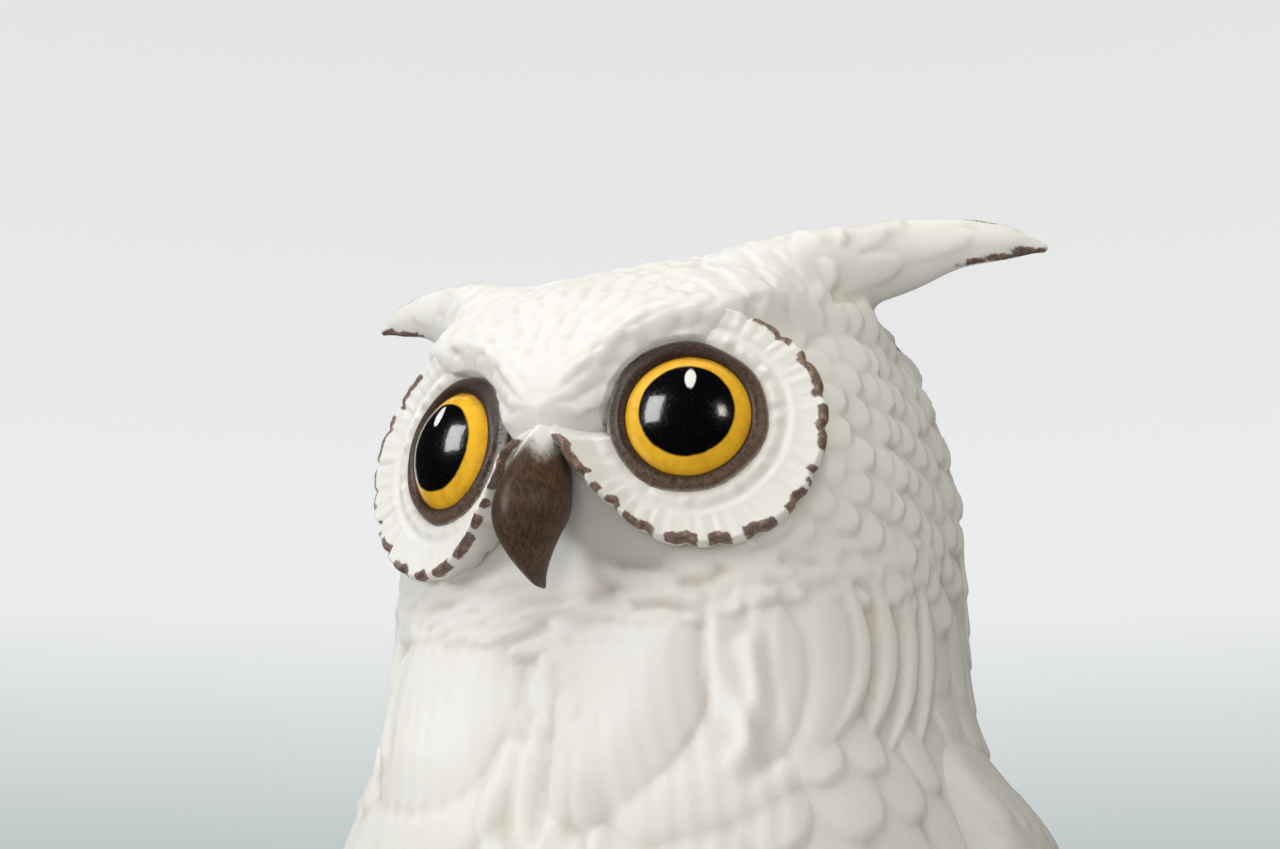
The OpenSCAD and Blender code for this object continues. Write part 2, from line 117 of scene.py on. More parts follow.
def outlineTable():  # height, half width, front and back of the two castings
    neckRow = [1.0, (headRows[0, 1] * 2 * owl["headHalf"] - 2 * owl["seatHalf"])
               / (2 * owl["bodyHalf"] - 2 * owl["seatHalf"]),
               headRows[0, 2] * owl["headFront"] / owl["bodyDeep"],
               headRows[0, 3] * owl["headBack"] / owl["bodyDeep"]]
    body = catmull(np.vstack([bodyRows, neckRow]), 240)
    bodyTable = np.c_[
        owl["seatZ"] + body[:, 0] * (owl["neckZ"] - owl["seatZ"]),
        owl["seatHalf"] + body[:, 1] * (owl["bodyHalf"] - owl["seatHalf"]),
        body[:, 2] * owl["bodyDeep"], body[:, 3] * owl["bodyDeep"]]
    head = catmull(headRows, 400)
    drop = owl["eyeZ"] - owl["neckZ"]
    rise = owl["crownZ"] - owl["eyeZ"]
    headTable = np.c_[
        owl["eyeZ"] + head[:, 0] * np.where(head[:, 0] < 0, drop, rise),
        head[:, 1] * owl["headHalf"], head[:, 2] * owl["headFront"], head[:, 3] * owl["headBack"]]
    easedTo = owl["neckZ"] + 30
    table = np.vstack([bodyTable[:-1], headTable])
    level = np.arange(owl["seatZ"], owl["crownZ"] + 0.5, 0.5)
    even = np.c_[(level,) + tuple(np.interp(level, table[:, 0], table[:, c]) for c in (1, 2, 3))]
    near = smooth(1.6 - np.abs(level - owl["neckZ"]) / 16)
    soft = np.exp(-(np.arange(-30, 31) / 13.0) ** 2)
    for c in (1, 2, 3):  # eases the step where the head's casting meets the body's
        eased = np.convolve(even[:, c], soft / soft.sum(), "same")
        even[:, c] += (eased - even[:, c]) * near
    return np.vstack([even[even[:, 0] <= easedTo], table[table[:, 0] > easedTo]])


shapeTable = outlineTable()


def browLine(x):  # the level of a brow's lower edge
    return owl["eyeZ"] - owl["browDrop"] + owl["browArch"] * np.sin(
        np.radians(np.minimum(np.abs(x) * 1.5, 90.0)))


def browOut(x, z):  # how far the brows and the bridge between them stand out
    above = z - browLine(x)
    side = 1 - smooth((np.abs(x) - 31) / 22)
    over = 1 - smooth((z - owl["eyeZ"]) / owl["browFade"] * 2.2 - 1.2)
    brow = owl["browRise"] * side * over * smooth((above + 9) / 15)
    bridge = owl["bridgeRise"] * np.exp(-(x / 9.0) ** 2) * smooth((z - owl["eyeZ"] + 34) / 30)
    return brow + bridge * (1 - smooth((z - owl["eyeZ"] - 2) / 30))


def reachAt(x, y, z):  # radius of the casting in the direction of a point
    a = np.interp(z, shapeTable[:, 0], shapeTable[:, 1])
    front = np.interp(z, shapeTable[:, 0], shapeTable[:, 2])
    back = np.interp(z, shapeTable[:, 0], shapeTable[:, 3])
    rho = np.sqrt(x * x + y * y) + 1e-6
    n = owl["squareness"]
    b = np.where(y < 0, front, back)
    r = ((np.abs(x) / rho / a) ** n + (np.abs(y) / rho / b) ** n) ** (-1 / n)
    out = browOut(x / rho * r, z) * smooth(-y / rho * 3)
    return r + out, rho


def castingField(x, y, z):  # signed distance, near enough, to the head and body
    r, rho = reachAt(x, y, z)
    r2, _ = reachAt(x, y, z + 0.5)
    slope = np.clip((r2 - r) / 0.5, -3.0, 3.0)
    f = (rho - r) / np.sqrt(1 + slope * slope)
    f = np.maximum(f, z - owl["crownZ"])
    return np.maximum(f, owl["seatZ"] - z)


# Share out and back, rise above the straight line, half height and half thickness
tuftRows = np.array([
    [0.00, 0.00, 0.0, 0.48, 0.50], [0.14, 0.16, 0.9, 0.51, 0.52], [0.27, 0.32, 1.8, 0.52, 0.48],
    [0.39, 0.49, 3.2, 0.50, 0.40], [0.50, 0.65, 4.4, 0.46, 0.31], [0.60, 0.73, 5.0, 0.40, 0.25],
    [0.69, 0.80, 4.9, 0.32, 0.20], [0.78, 0.86, 4.1, 0.25, 0.15], [0.87, 0.92, 2.8, 0.17, 0.11],
    [0.95, 0.97, 1.2, 0.09, 0.07], [1.00, 1.00, 0.0, 0.045, 0.045]])
tuft = {
    "root": np.array([29.8, -26.0, 313.7]),
    "tip": np.array([86.0, 5.0, 324.5]),
    "height": 20.0,
    "rightCock": 8.0,
    "cutAt": np.array([50.0, -14.0, 320.0]),
    "cutAcross": np.array([0.86, 0.38, 0.33]),
    "rightCutLift": 3.0,
    "cutOut": 36.0,
    "cutLow": 303.0,
}


def tuftCentre(row, side):  # a row's place on the tuft's middle line, as if it were on the left
    tip = tuft["tip"] + np.array([0, 0, tuft["rightCock"] if side < 0 else 0])
    step = tip - tuft["root"]
    return tuft["root"] + np.array([row[0] * step[0], row[1] * step[1], row[0] * step[2] + row[2]])


def tuftSpine(side, share):  # centre, half height and half thickness at a share of a tuft's length
    row = [np.interp(share, tuftRows[:, 0], tuftRows[:, k]) for k in range(5)]
    at = tuftCentre(row, side) * [side, 1, 1]
    return at, row[3] * tuft["height"], row[4] * tuft["height"]


def tuftCut(side):  # where a tuft parts from the head, and the way across the cut
    lift = tuft["rightCutLift"] if side < 0 else 0.0
    return tuft["cutAt"] * [side, 1, 1] + [0, 0, lift], tuft["cutAcross"] * [side, 1, 1]


def tuftField(x, y, z, side):
    best = np.full(x.shape, 50.0, np.float32)
    for row in catmull(tuftRows, 34):
        c = tuftCentre(row, side)
        rz = row[3] * tuft["height"]
        ry = row[4] * tuft["height"]
        rx = 0.8 * rz
        px = (side * x - c[0]) / rx
        py = (y - c[1]) / ry
        pz = (z - c[2]) / rz
        q = np.sqrt(px ** 2 + py ** 2 + pz ** 2)
        g = np.sqrt((px / rx) ** 2 + (py / ry) ** 2 + (pz / rz) ** 2) + 1e-6
        best = blendMin(best, q * (q - 1) / g, 0.6)
    return best


def blendMin(a, b, k):  # the lesser of two fields, eased into each other over a width
    h = np.clip(0.5 + 0.5 * (b - a) / k, 0, 1)
    return b + (a - b) * h - k * h * (1 - h)


def owlField(x, y, z):
    f = castingField(x, y, z)
    for side in (1, -1):
        near = (side * x > 12) & (z > 292) & (y > -52) & (y < 22)  # as far as a tuft can matter
        if near.any():
            t = tuftField(x[near], y[near], z[near], side)
            f[near] = blendMin(f[near], t, 5 + 8 * smooth((314 - z[near]) / 10))
    return f


def axisMap(stops):  # a run of positions whose spacing changes smoothly
    at = [stops[0][0]]
    pos = np.array([s[0] for s in stops])
    gap = np.array([s[1] for s in stops])
    while at[-1] < pos[-1]:
        at.append(at[-1] + float(np.interp(at[-1], pos, gap)))
    return np.array(at)


def meshField(fieldOf, xs, ys, zs):  # quads along the surface where a field is zero
    values = np.empty((len(xs), len(ys), len(zs)), np.float32)
    for k in range(0, len(xs), 24):
        x, y, z = np.meshgrid(xs[k:k + 24], ys, zs, indexing="ij")
        values[k:k + 24] = fieldOf(x.ravel(), y.ravel(), z.ravel()).reshape(x.shape)
    grid = openvdb.FloatGrid(4.0)
    grid.copyFromArray(np.clip(values, -4.0, 4.0))
    points, quads = grid.convertToQuads(isovalue=0.0)
    world = np.c_[
        np.interp(points[:, 0], np.arange(len(xs)), xs),
        np.interp(points[:, 1], np.arange(len(ys)), ys),
        np.interp(points[:, 2], np.arange(len(zs)), zs)]
    quads = np.asarray(quads, np.int64)
    n = normalsOf(world, quads)
    g = gradientOf(fieldOf, world[::50])
    if (n[::50] * g).sum() < 0:
        quads = quads[:, ::-1]
    return world, quads


def edgesOf(faces):
    e = np.vstack([faces[:, [i, (i + 1) % 4]] for i in range(4)])
    e = np.unique(np.sort(e, axis=1), axis=0)
    return e[e[:, 0] != e[:, 1]]


def normalsOf(points, faces):
    d1 = points[faces[:, 2]] - points[faces[:, 0]]
    d2 = points[faces[:, 3]] - points[faces[:, 1]]
    n = np.cross(d1, d2)
    out = np.zeros_like(points)
    for i in range(4):
        for c in range(3):
            out[:, c] += np.bincount(faces[:, i], n[:, c], len(points))
    return unit(out)


def gradientOf(fieldOf, p, h=0.25):
    g = np.empty_like(p)
    for c in range(3):
        a = p.copy()
        b = p.copy()
        a[:, c] += h
        b[:, c] -= h
        g[:, c] = (fieldOf(*a.T) - fieldOf(*b.T)) / (2 * h)
    return g


def spread(values, edges, rounds):  # averages a value over the mesh
    count = np.bincount(edges.ravel(), minlength=len(values)) + 1.0
    for _ in range(rounds):
        total = (values + np.bincount(edges[:, 0], values[edges[:, 1]], len(values))
                 + np.bincount(edges[:, 1], values[edges[:, 0]], len(values)))
        values = total / count
    return values


def relax(points, faces, fieldOf, rounds=2):  # evens out the quads, and keeps them on the surface
    edges = edgesOf(faces)
    for _ in range(rounds):
        middle = np.c_[tuple(spread(points[:, c], edges, 1) for c in range(3))]
        move = middle - points
        g = gradientOf(fieldOf, points)
        n = unit(g)
        move -= n * (move * n).sum(1, keepdims=True)
        points = points + 0.8 * move
        off = fieldOf(*points.T)
        size = (g * g).sum(1) + 1e-6
        points = points - g * np.clip(off / size, -0.5, 0.5)[:, None]
    return points


def cutMesh(points, faces, cuts):  # slices a mesh, so that its pieces part along clean lines
    mesh = bpy.data.meshes.new("cut")
    mesh.from_pydata(points.tolist(), [], faces.tolist())
    bm = bmesh.new()
    bm.from_mesh(mesh)
    bpy.data.meshes.remove(mesh)
    for at, across, wanted in cuts:
        chosen = [f for f in bm.faces if wanted(f.calc_center_median())]
        parts = set(chosen)
        for f in chosen:
            parts.update(f.edges)
            parts.update(f.verts)
        bmesh.ops.bisect_plane(bm, geom=list(parts), plane_co=at, plane_no=across, dist=1e-4)
    many = [f for f in bm.faces if len(f.verts) > 4]
    bmesh.ops.triangulate(bm, faces=many)
    bm.verts.index_update()
    points = np.array([v.co for v in bm.verts])
    faces = np.array([[v.index for v in f.verts] + ([f.verts[-1].index] if len(f.verts) == 3 else [])
                      for f in bm.faces])
    bm.free()
    return points, faces


class Relief:  # feathers over a surface: each rises from its root to its tip and overlaps the next
    def __init__(self, points, normals, cell=5.0):
        self.points = points
        self.normals = normals
        self.cell = cell
        self.height = np.zeros(len(points))
        self.barb = np.zeros(len(points))
        keys = np.floor(points / cell).astype(int)
        order = np.lexsort(keys.T)
        keys = keys[order]
        starts = np.flatnonzero(np.r_[True, (np.diff(keys, axis=0) != 0).any(1)])
        ends = np.r_[starts[1:], len(keys)]
        self.cells = {tuple(keys[s]): order[s:e] for s, e in zip(starts, ends)}

    def near(self, at, reach):
        low = np.floor((at - reach) / self.cell).astype(int)
        high = np.floor((at + reach) / self.cell).astype(int)
        found = [self.cells[i, j, k]
                 for i in range(low[0], high[0] + 1)
                 for j in range(low[1], high[1] + 1)
                 for k in range(low[2], high[2] + 1) if (i, j, k) in self.cells]
        return np.concatenate(found) if found else np.zeros(0, int)

    def lift(self, ids, rise, barb):
        over = rise > self.height[ids]
        self.height[ids[over]] = rise[over]
        self.barb[ids[over]] = barb[over]

    def feather(self, at, along, out, length, width, height, tip=0.6, edge=1.0, start=0.25, curl=0.0,
                dome=0.25):
        along = unit(along - out * (along @ out))
        across = np.cross(out, along)
        ids = self.near(at, 0.62 * math.hypot(length, width))
        if len(ids) == 0:
            return
        r = self.points[ids] - at
        u = r @ along / length + 0.5
        v = (r @ across + curl * (u - 0.5) ** 2 * length) / (width / 2)
        facing = (self.normals[ids] @ out > 0.3) & (np.abs(r @ out) < 0.5 * max(length, width))
        bend = 1 - min(0.75, tip * width / length)
        t = np.clip((u - bend) / (1 - bend), 0, 1)
        half = np.sqrt(1 - t * t) * (0.5 + 0.5 * smooth(u / 0.35))
        inside = np.minimum((half - np.abs(v)) * width / 2, (1 - u) * length * 0.9)
        rise = height * (start + (1 - start) * np.clip(u, 0, 1) ** 1.3) * (1 - dome * np.minimum(v * v, 1))
        rise = rise * smooth(inside / edge)
        ok = facing & (u > 0) & (inside > 0)
        self.lift(ids[ok], rise[ok], (v * width / 2)[ok])


def settle(p, fieldOf):  # moves points onto a surface, and gives its normals there
    for _ in range(2):
        g = gradientOf(fieldOf, p)
        p = p - g * (fieldOf(*p.T) / ((g * g).sum(1) + 1e-6))[:, None]
    return p, unit(gradientOf(fieldOf, p))


def march(start, headings, step, count, fieldOf):  # walks over a surface in several directions at once
    p = np.repeat(np.array([start], float), len(headings), 0)
    d = unit(np.array(headings, float))
    p, n = settle(p, fieldOf)
    paths = []
    for _ in range(count):
        d = unit(d - n * (d * n).sum(1, keepdims=True))
        paths.append((p.copy(), d.copy(), n.copy()))
        p, n = settle(p + d * step, fieldOf)
    return [np.array(part) for part in zip(*paths)]


def fanFeathers(relief, start, headings, rows, allowed, fieldOf):
    # rows of (distance, width, length, height), each laid side by side across the walked lines
    step = 1.5
    count = int(max(r[0] for r in rows) / step) + 2
    at, along, out = march(start, headings, step, count, fieldOf)
    for number, (distance, width, length, height) in enumerate(rows):
        k = min(int(distance / step), count - 1)
        line = at[k]
        gaps = np.linalg.norm(np.diff(line, axis=0), axis=1)
        run = np.r_[0, np.cumsum(gaps)]
        spots = np.arange((0.25 + 0.5 * (number % 2)) * width, run[-1], width * 0.86)
        for s in spots:
            s = s + rng.normal(0, 0.05) * width
            j = int(np.clip(np.searchsorted(run, s) - 1, 0, len(gaps) - 1))
            if gaps[j] > 3 * width:
                continue
            f = (s - run[j]) / (gaps[j] + 1e-6)
            c = line[j] * (1 - f) + line[j + 1] * f
            d = unit(along[k, j] * (1 - f) + along[k, j + 1] * f)
            n = unit(out[k, j] * (1 - f) + out[k, j + 1] * f)
            if not allowed(c):
                continue
            scale = 1 + rng.normal(0, 0.07)
            turn = rng.normal(0, 0.07)
            d = unit(d + np.cross(n, d) * turn)
            relief.feather(c, d, n, length * scale, width * scale, height * (1 + rng.normal(0, 0.12)))


def onBody(theta, z):  # a point of the castings, its outward and downward directions
    a = math.radians(theta)
    x, y = math.sin(a), -math.cos(a)
    r = reachAt(np.array([x]), np.array([y]), np.array([z]))[0]
    p = np.array([[x * r[0], y * r[0], z]])
    n = unit(gradientOf(castingField, p))[0]
    down = unit(np.array([0, 0, -1.0]) - n * -n[2])
    return p[0], n, down


def makeMesh(name, points, faces, material, normals=None, values=None):
    # each face has four corners; a triangle's last one is there twice
    mesh = bpy.data.meshes.new(name)
    three = faces[:, 3] == faces[:, 2]
    totals = np.where(three, 3, 4)
    starts = np.r_[0, np.cumsum(totals)[:-1]]
    keep = np.ones(faces.shape, bool)
    keep[three, 3] = False
    corners = faces[keep]
    mesh.vertices.add(len(points))
    mesh.vertices.foreach_set("co", (points * mm).astype(np.float32).ravel())
    mesh.loops.add(len(corners))
    mesh.loops.foreach_set("vertex_index", corners.astype(np.int32))
    mesh.polygons.add(len(totals))
    mesh.polygons.foreach_set("loop_start", starts.astype(np.int32))
    mesh.polygons.foreach_set("loop_total", totals.astype(np.int32))
    mesh.polygons.foreach_set("use_smooth", np.ones(len(totals), bool))
    mesh.update(calc_edges=True)
    for key, value in (values or {}).items():
        layer = mesh.attributes.new(key, "FLOAT", "POINT")
        layer.data.foreach_set("value", np.asarray(value, np.float32))
    if normals is not None:
        mesh.normals_split_custom_set_from_vertices(normals.tolist())
    mesh.materials.append(material)
    obj = bpy.data.objects.new(name, mesh)
    bpy.context.scene.collection.objects.link(obj)
    return obj


def place(obj, slot, *nodes):
    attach(obj, "root")
    if nodes:
        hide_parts(*nodes)
    return obj


def loopGrid(rings, endless=False):  # quads between rings of points; a fan closes each end, if there is one
    count = len(rings)
    n = len(rings[0])
    points = np.vstack(rings)
    faces = []
    for k in range(count if endless else count - 1):
        after = (k + 1) % count
        for i in range(n):
            j = (i + 1) % n
            faces.append([k * n + i, k * n + j, after * n + j, after * n + i])
    for k in () if endless else (0, count - 1):
        hub = len(points)
        points = np.vstack([points, rings[k].mean(0)])
        for i in range(n):
            j = (i + 1) % n
            faces.append([k * n + j, k * n + i, hub, hub] if k == 0
                         else [k * n + i, k * n + j, hub, hub])
    return points, np.array(faces)


def flipped(faces):  # turns each face over, keeping a triangle's doubled last corner
    out = faces[:, ::-1].copy()
    three = faces[:, 3] == faces[:, 2]
    out[three] = faces[three][:, [1, 0, 2, 3]]
    return out


class Wire:  # one socket of a node; arithmetic on it adds Math nodes
    def __init__(self, board, socket):
        self.board = board
        self.socket = socket

    def math(self, operation, *values):
        return self.board.add("Math", {"operation": operation}, dict(enumerate(values)))

    def __add__(self, other):
        return self.math("ADD", self, other)

    def __radd__(self, other):
        return self.math("ADD", other, self)

    def __sub__(self, other):
        return self.math("SUBTRACT", self, other)

    def __rsub__(self, other):
        return self.math("SUBTRACT", other, self)

    def __mul__(self, other):
        return self.math("MULTIPLY", self, other)

    def __rmul__(self, other):
        return self.math("MULTIPLY", other, self)

    def __truediv__(self, other):
        return self.math("DIVIDE", self, other)

    def __pow__(self, other):
        return self.math("POWER", self, other)

    def clamp(self):
        return self.board.add("Clamp", {}, {"Value": self})

    def between(self, low, high):  # 0 at low, 1 at high, eased
        return self.board.add("MapRange", {"interpolation_type": "SMOOTHSTEP"},
                              {"Value": self, "From Min": low, "From Max": high})


class Board:  # the node tree of a material or of the room
    def __init__(self, owner):
        owner.use_nodes = True
        self.owner = owner
        self.tree = owner.node_tree
        self.tree.nodes.clear()
        self.object = self.add("TexCoord", {}, {}, "Object")

    def add(self, kind, settings, sockets, out=0):
        node = self.tree.nodes.new("ShaderNode" + kind)
        for key, value in settings.items():
            if key == "stops":
                ramp = node.color_ramp.elements
                for element, (where, colour) in zip(ramp, value):
                    element.position = where
                    element.color = colour
                for where, colour in value[2:]:
                    ramp.new(where).color = colour
            else:
                setattr(node, key, value)
        for key, value in sockets.items():
            if isinstance(value, Wire):
                self.tree.links.new(value.socket, node.inputs[key])
            else:
                node.inputs[key].default_value = value
        return Wire(self, node.outputs[out]) if node.outputs else None

    def noise(self, size, detail=2.0, rough=0.5, stretch=(1, 1, 1)):  # features of a size in millimetres
        place = self.add("Mapping", {}, {"Vector": self.object, "Scale": stretch})
        return self.add("TexNoise", {}, {"Vector": place, "Scale": 1000.0 / size, "Detail": detail,
                                         "Roughness": rough})

    def value(self, name):
        return self.add("Attribute", {"attribute_name": name}, {}, "Fac")

    def mix(self, share, a, b):
        return self.add("Mix", {"data_type": "RGBA"}, {0: share, 6: a, 7: b}, 2)

    def bump(self, height, strength, depth, normal=None):
        sockets = {"Height": height, "Strength": strength, "Distance": depth * mm}
        if normal is not None:
            sockets["Normal"] = normal
        return self.add("Bump", {}, sockets, "Normal")

    def finish(self, **sockets):
        named = {key.replace("_", " "): value for key, value in sockets.items()}
        shader = self.add("BsdfPrincipled", {}, named)
        self.add("OutputMaterial", {}, {"Surface": shader})
        return self.owner


def finishBoard(name):
    return Board(bpy.data.materials.new(name))


porcelain = {
    "white": (0.835, 0.835, 0.808, 1),
    "warm": (0.795, 0.775, 0.725, 1),
    # the colour painted into the hollows as shade
    "crevice": (0.560, 0.450, 0.340, 1),
    "roughness": 0.58,
}
stain = {
    "brown": (0.115, 0.060, 0.036, 1),
    "pale": (0.300, 0.185, 0.125, 1),
    "beak": ((0.048, 0.025, 0.013, 1), (0.138, 0.077, 0.044, 1)),
    "lid": ((0.034, 0.018, 0.011, 1), (0.150, 0.094, 0.062, 1)),
    "horn": ((0.040, 0.026, 0.020, 1), (0.110, 0.075, 0.055, 1)),
}
bark = {
    "cream": (0.66, 0.62, 0.55, 1),
    "buff": (0.52, 0.46, 0.38, 1),
    "deep": (0.16, 0.095, 0.060, 1),
}


def bisqueColour(board):  # clouded white, with painted warm shade darkening the hollows
    cloud = board.noise(22, 3).between(0.35, 0.75)
    base = board.mix(cloud * 0.5, porcelain["white"], porcelain["warm"])
    # painted shade: blotches that make the darkening in the hollows uneven
    shadeBlotches = board.noise(3.5, 3).between(0.2, 0.8)
    deep = (board.value("crevice") * (0.55 + 0.45 * shadeBlotches)).clamp()
    return board.mix(deep * 0.6, base, porcelain["crevice"])


def bisqueBump(board):  # fine grain, and the barbs of the feathers
    grain = board.noise(0.7, 3)
    swell = board.noise(5, 2)
    wander = board.value("barb") * 3.2 + board.noise(4, 2) * 9
    barbs = board.add("Math", {"operation": "SINE"}, {0: wander})
    marks = barbs * board.value("fine") * board.noise(5, 1)
    first = board.bump(grain * 0.35 + swell, 0.35, 0.18)
    return board.bump(marks, 0.45, 0.12, first)


def bisque():
    board = finishBoard("bisque")
    rough = porcelain["roughness"] + (board.noise(9, 2) - 0.5) * 0.12
    return board.finish(
        Base_Color=bisqueColour(board), Roughness=rough, Normal=bisqueBump(board),
        Specular_IOR_Level=0.4)


def brushed(name):  # bisque with brown brush strokes, placed by the mesh's own "stroke" distances
    board = finishBoard(name)
    bristle = board.noise(0.8, 3, 0.6)
    edge = board.value("stroke") + (bristle - 0.5) * 1.1 + (board.noise(2.6, 1) - 0.5) * 0.9
    paint = 1 - edge.between(-0.28, 0.22)
    brown = board.mix(board.noise(1.3, 2).between(0.42, 0.72), stain["brown"], stain["pale"])
    wash = (board.value("wash") * (0.35 + 0.9 * board.noise(1.6, 2))).clamp()
    base = board.mix(wash * 0.75, bisqueColour(board), stain["pale"])
    rough = porcelain["roughness"] - paint * 0.08
    return board.finish(
        Base_Color=board.mix(paint * 0.93, base, brown), Roughness=rough, Normal=bisqueBump(board),
        Specular_IOR_Level=0.4)


def darkStain(name, dark, light, size, streak=(1, 1, 1), roughness=0.5):
    # brushed on; it fades by the mesh's own "fade", and is rubbed paler by its "worn"
    board = finishBoard(name)
    brush = board.noise(size, 4, 0.6, streak)
    pale = board.value("fade")
    tone = board.mix((brush + board.value("worn") * 0.3).between(0.32, 0.78), dark, light)
    edge = (pale + (brush - 0.5) * 0.9 * (1 - (pale * 2 - 1) * (pale * 2 - 1))).clamp()
    colour = board.mix(edge, tone, porcelain["white"])
    height = brush * 0.6 + board.noise(0.5, 2) * 0.3
    return board.finish(Base_Color=colour, Roughness=roughness + (brush - 0.5) * 0.2,
                        Normal=board.bump(height, 0.35, 0.15), Specular_IOR_Level=0.45)


iris = {
    "pupil": 9.6,
    "rim": 12.7,
    "yellow": (0.98, 0.56, 0.030, 1),
    "orange": (0.78, 0.34, 0.014, 1),
    "shade": (0.30, 0.12, 0.02, 1),
    "black": (0.0015, 0.0015, 0.002, 1),
    "spark": (0.90, 0.92, 0.90, 1),
    "sparkAt": (0.9, 6.3),
    "sparkHalf": (1.15, 2.5),
}


def eyeGlaze():  # pupil, iris and spark are painted by the distances "gazeX" and "gazeY"
    board = finishBoard("eye_glaze")
    x = board.value("gazeX")
    y = board.value("gazeY")
    radius = (x * x + y * y) ** 0.5
    wobble = (board.noise(3.2, 2) - 0.5) * 0.5
    pupil = 1 - (radius + wobble).between(iris["pupil"] - 0.25, iris["pupil"] + 0.25)
    low = (radius + wobble * 2).between(iris["rim"] - 1.5, iris["rim"] + 0.1)
    warmth = (board.noise(2.4, 3).between(0.4, 0.75) * 0.5 + low * 0.35).clamp()
    yellow = board.mix(warmth, iris["yellow"], iris["orange"])
    # painted shadow of the lid: the upper part of the iris's outer ring is darkened
    ring = board.mix((y.between(2, 14) * low * 0.8).clamp(), yellow, iris["shade"])
    glassy = board.mix(pupil, ring, iris["black"])
    u = (x - iris["sparkAt"][0]) / iris["sparkHalf"][0]
    v = (y - iris["sparkAt"][1]) / iris["sparkHalf"][1]
    spark = 1 - ((u * u + v * v) ** 0.5 + (board.noise(0.9, 2) - 0.5) * 0.3).between(0.82, 1.08)
    peel = board.noise(1.1, 2)
    pits = board.noise(0.35, 1).between(0.62, 0.8)
    return board.finish(
        Base_Color=board.mix(spark, glassy, iris["spark"]), Roughness=0.16 + pits * 0.25,
        Normal=board.bump(peel - pits * 0.3, 0.3, 0.12), Specular_IOR_Level=0.5, Coat_Weight=0.6,
        Coat_Roughness=0.06)


def stumpWash():
    board = finishBoard("base_bisque")
    grain = board.noise(2.0, 4, 0.6, (1, 1, 0.16))
    deep = (board.value("crevice") * (0.6 + 0.6 * grain)).clamp()
    cream = board.mix(board.noise(18, 3), bark["cream"], bark["buff"])
    colour = board.mix(deep * 0.85, cream, bark["deep"])
    return board.finish(Base_Color=colour, Roughness=0.62 + (grain - 0.5) * 0.15,
                        Normal=board.bump(grain, 0.4, 0.35), Specular_IOR_Level=0.4)


bisqueLook = bisque()
brushedLook = brushed("brown_brushwork")
beakLook = darkStain("beak_stain", *stain["beak"], 0.8, (1, 1, 0.3))
lidLook = darkStain("lid_stain", *stain["lid"], 0.7, roughness=0.45)
hornLook = darkStain("horn_stain", *stain["horn"], 1.0)
glazeLook = eyeGlaze()
stumpLook = stumpWash()
print("finishes mixed")


def eyeView(points, side):  # places as an eye has them: across, up, and ahead of its seat
    p = points * [side, 1, 1] - [owl["eyeX"], owl["eyeSeatY"], owl["eyeZ"]]
    return (p @ eyeAxes).T


def fromEye(x, y, depth, side):  # the same, back to the owl's own axes
    p = np.c_[x, y, depth] @ eyeAxes.T + [owl["eyeX"], owl["eyeSeatY"], owl["eyeZ"]]
    return p * [side, 1, 1]


def turned(axis, degrees):
    return np.array(Matrix.Rotation(math.radians(degrees), 3, axis))


eyeAxes = turned("Z", owl["eyeTurn"]) @ turned("X", 90 - owl["eyeLift"])
disc = {
    "reach": 27.0,
    "thick": 3.4,
    "dish": 5.0,
    "from": -179.0,
    "to": 181.0,
    "browEnd": 76.0,
    "feathers": 15,
    "inner": 14.6,
    "bedded": -3.6,
    "frill": 17.6,
    "groove": 19.9,
    "ridge": 21.3,
    "brush": 1.55,
}


def discReach(t):  # a disc's radius at an angle round the eye
    turn = np.radians(t + 55)
    hidden = 5.0 * smooth((t - 80) / 25) * smooth((172 - t) / 25)  # the brow covers this stretch
    beside = 0.13 * np.exp(-((t + 178) / 20) ** 2) + 0.13 * np.exp(-((t - 182) / 20) ** 2)
    under = 0.07 * np.exp(-((t + 128) / 20) ** 2)
    return disc["reach"] * (0.94 + 0.08 * np.cos(turn) + beside - under) - hidden


def discLift(t):  # how much further forward the rim lies there
    c = np.cos(np.radians(t))
    return disc["dish"] * c * (0.4 * c - 0.6)


def browCover(t):  # where the brow runs down over a disc to the lid
    t = np.where(t < -150, t + 360, t)
    return smooth((t - 66) / 28) * smooth((196 - t) / 22)


def browBowl(r):  # the brow's height round a lid, at a distance from the middle of the eye
    out = np.clip(r - 16, 0, 20)
    return 2.5 + 0.42 * out + 0.012 * out * out - 3.0 * smooth((17.2 - r) / 2)


def sinkUnderDiscs(points):  # the skin gives way to the discs, and meets the lids under the brows
    points = points.copy()
    for side in (1, -1):
        x, y, depth = eyeView(points, side)
        t = np.degrees(np.arctan2(y, x))
        r = np.hypot(x, y)
        front = (side * points[:, 0] > 0) & (points[:, 1] < -20) & (depth > -14) & (r < 30)
        eased = browCover(t) * (1 - smooth((r - 19) / 11)) * front
        depth = depth + (browBowl(r) - depth) * eased
        points[front] = fromEye(x, y, depth, side)[front]
        inside = (discReach(t) - r) * (1 - browCover(t))  # in from the disc's rim
        floor = 0.6 + (disc["thick"] + discLift(t) - 2.2) * smooth(1 - inside / 11)
        clear = smooth((browLine(points[:, 0]) - 2.5 - points[:, 2]) / 3)
        pushed = (side * points[:, 0] > 0) & (points[:, 1] < -20) & (inside > 0) & (depth > floor)
        drop = (depth - floor) * smooth(inside / 1.5) * clear
        depth = np.where(pushed, depth - drop, depth)
        points[pushed] = fromEye(x, y, depth, side)[pushed]
    return points


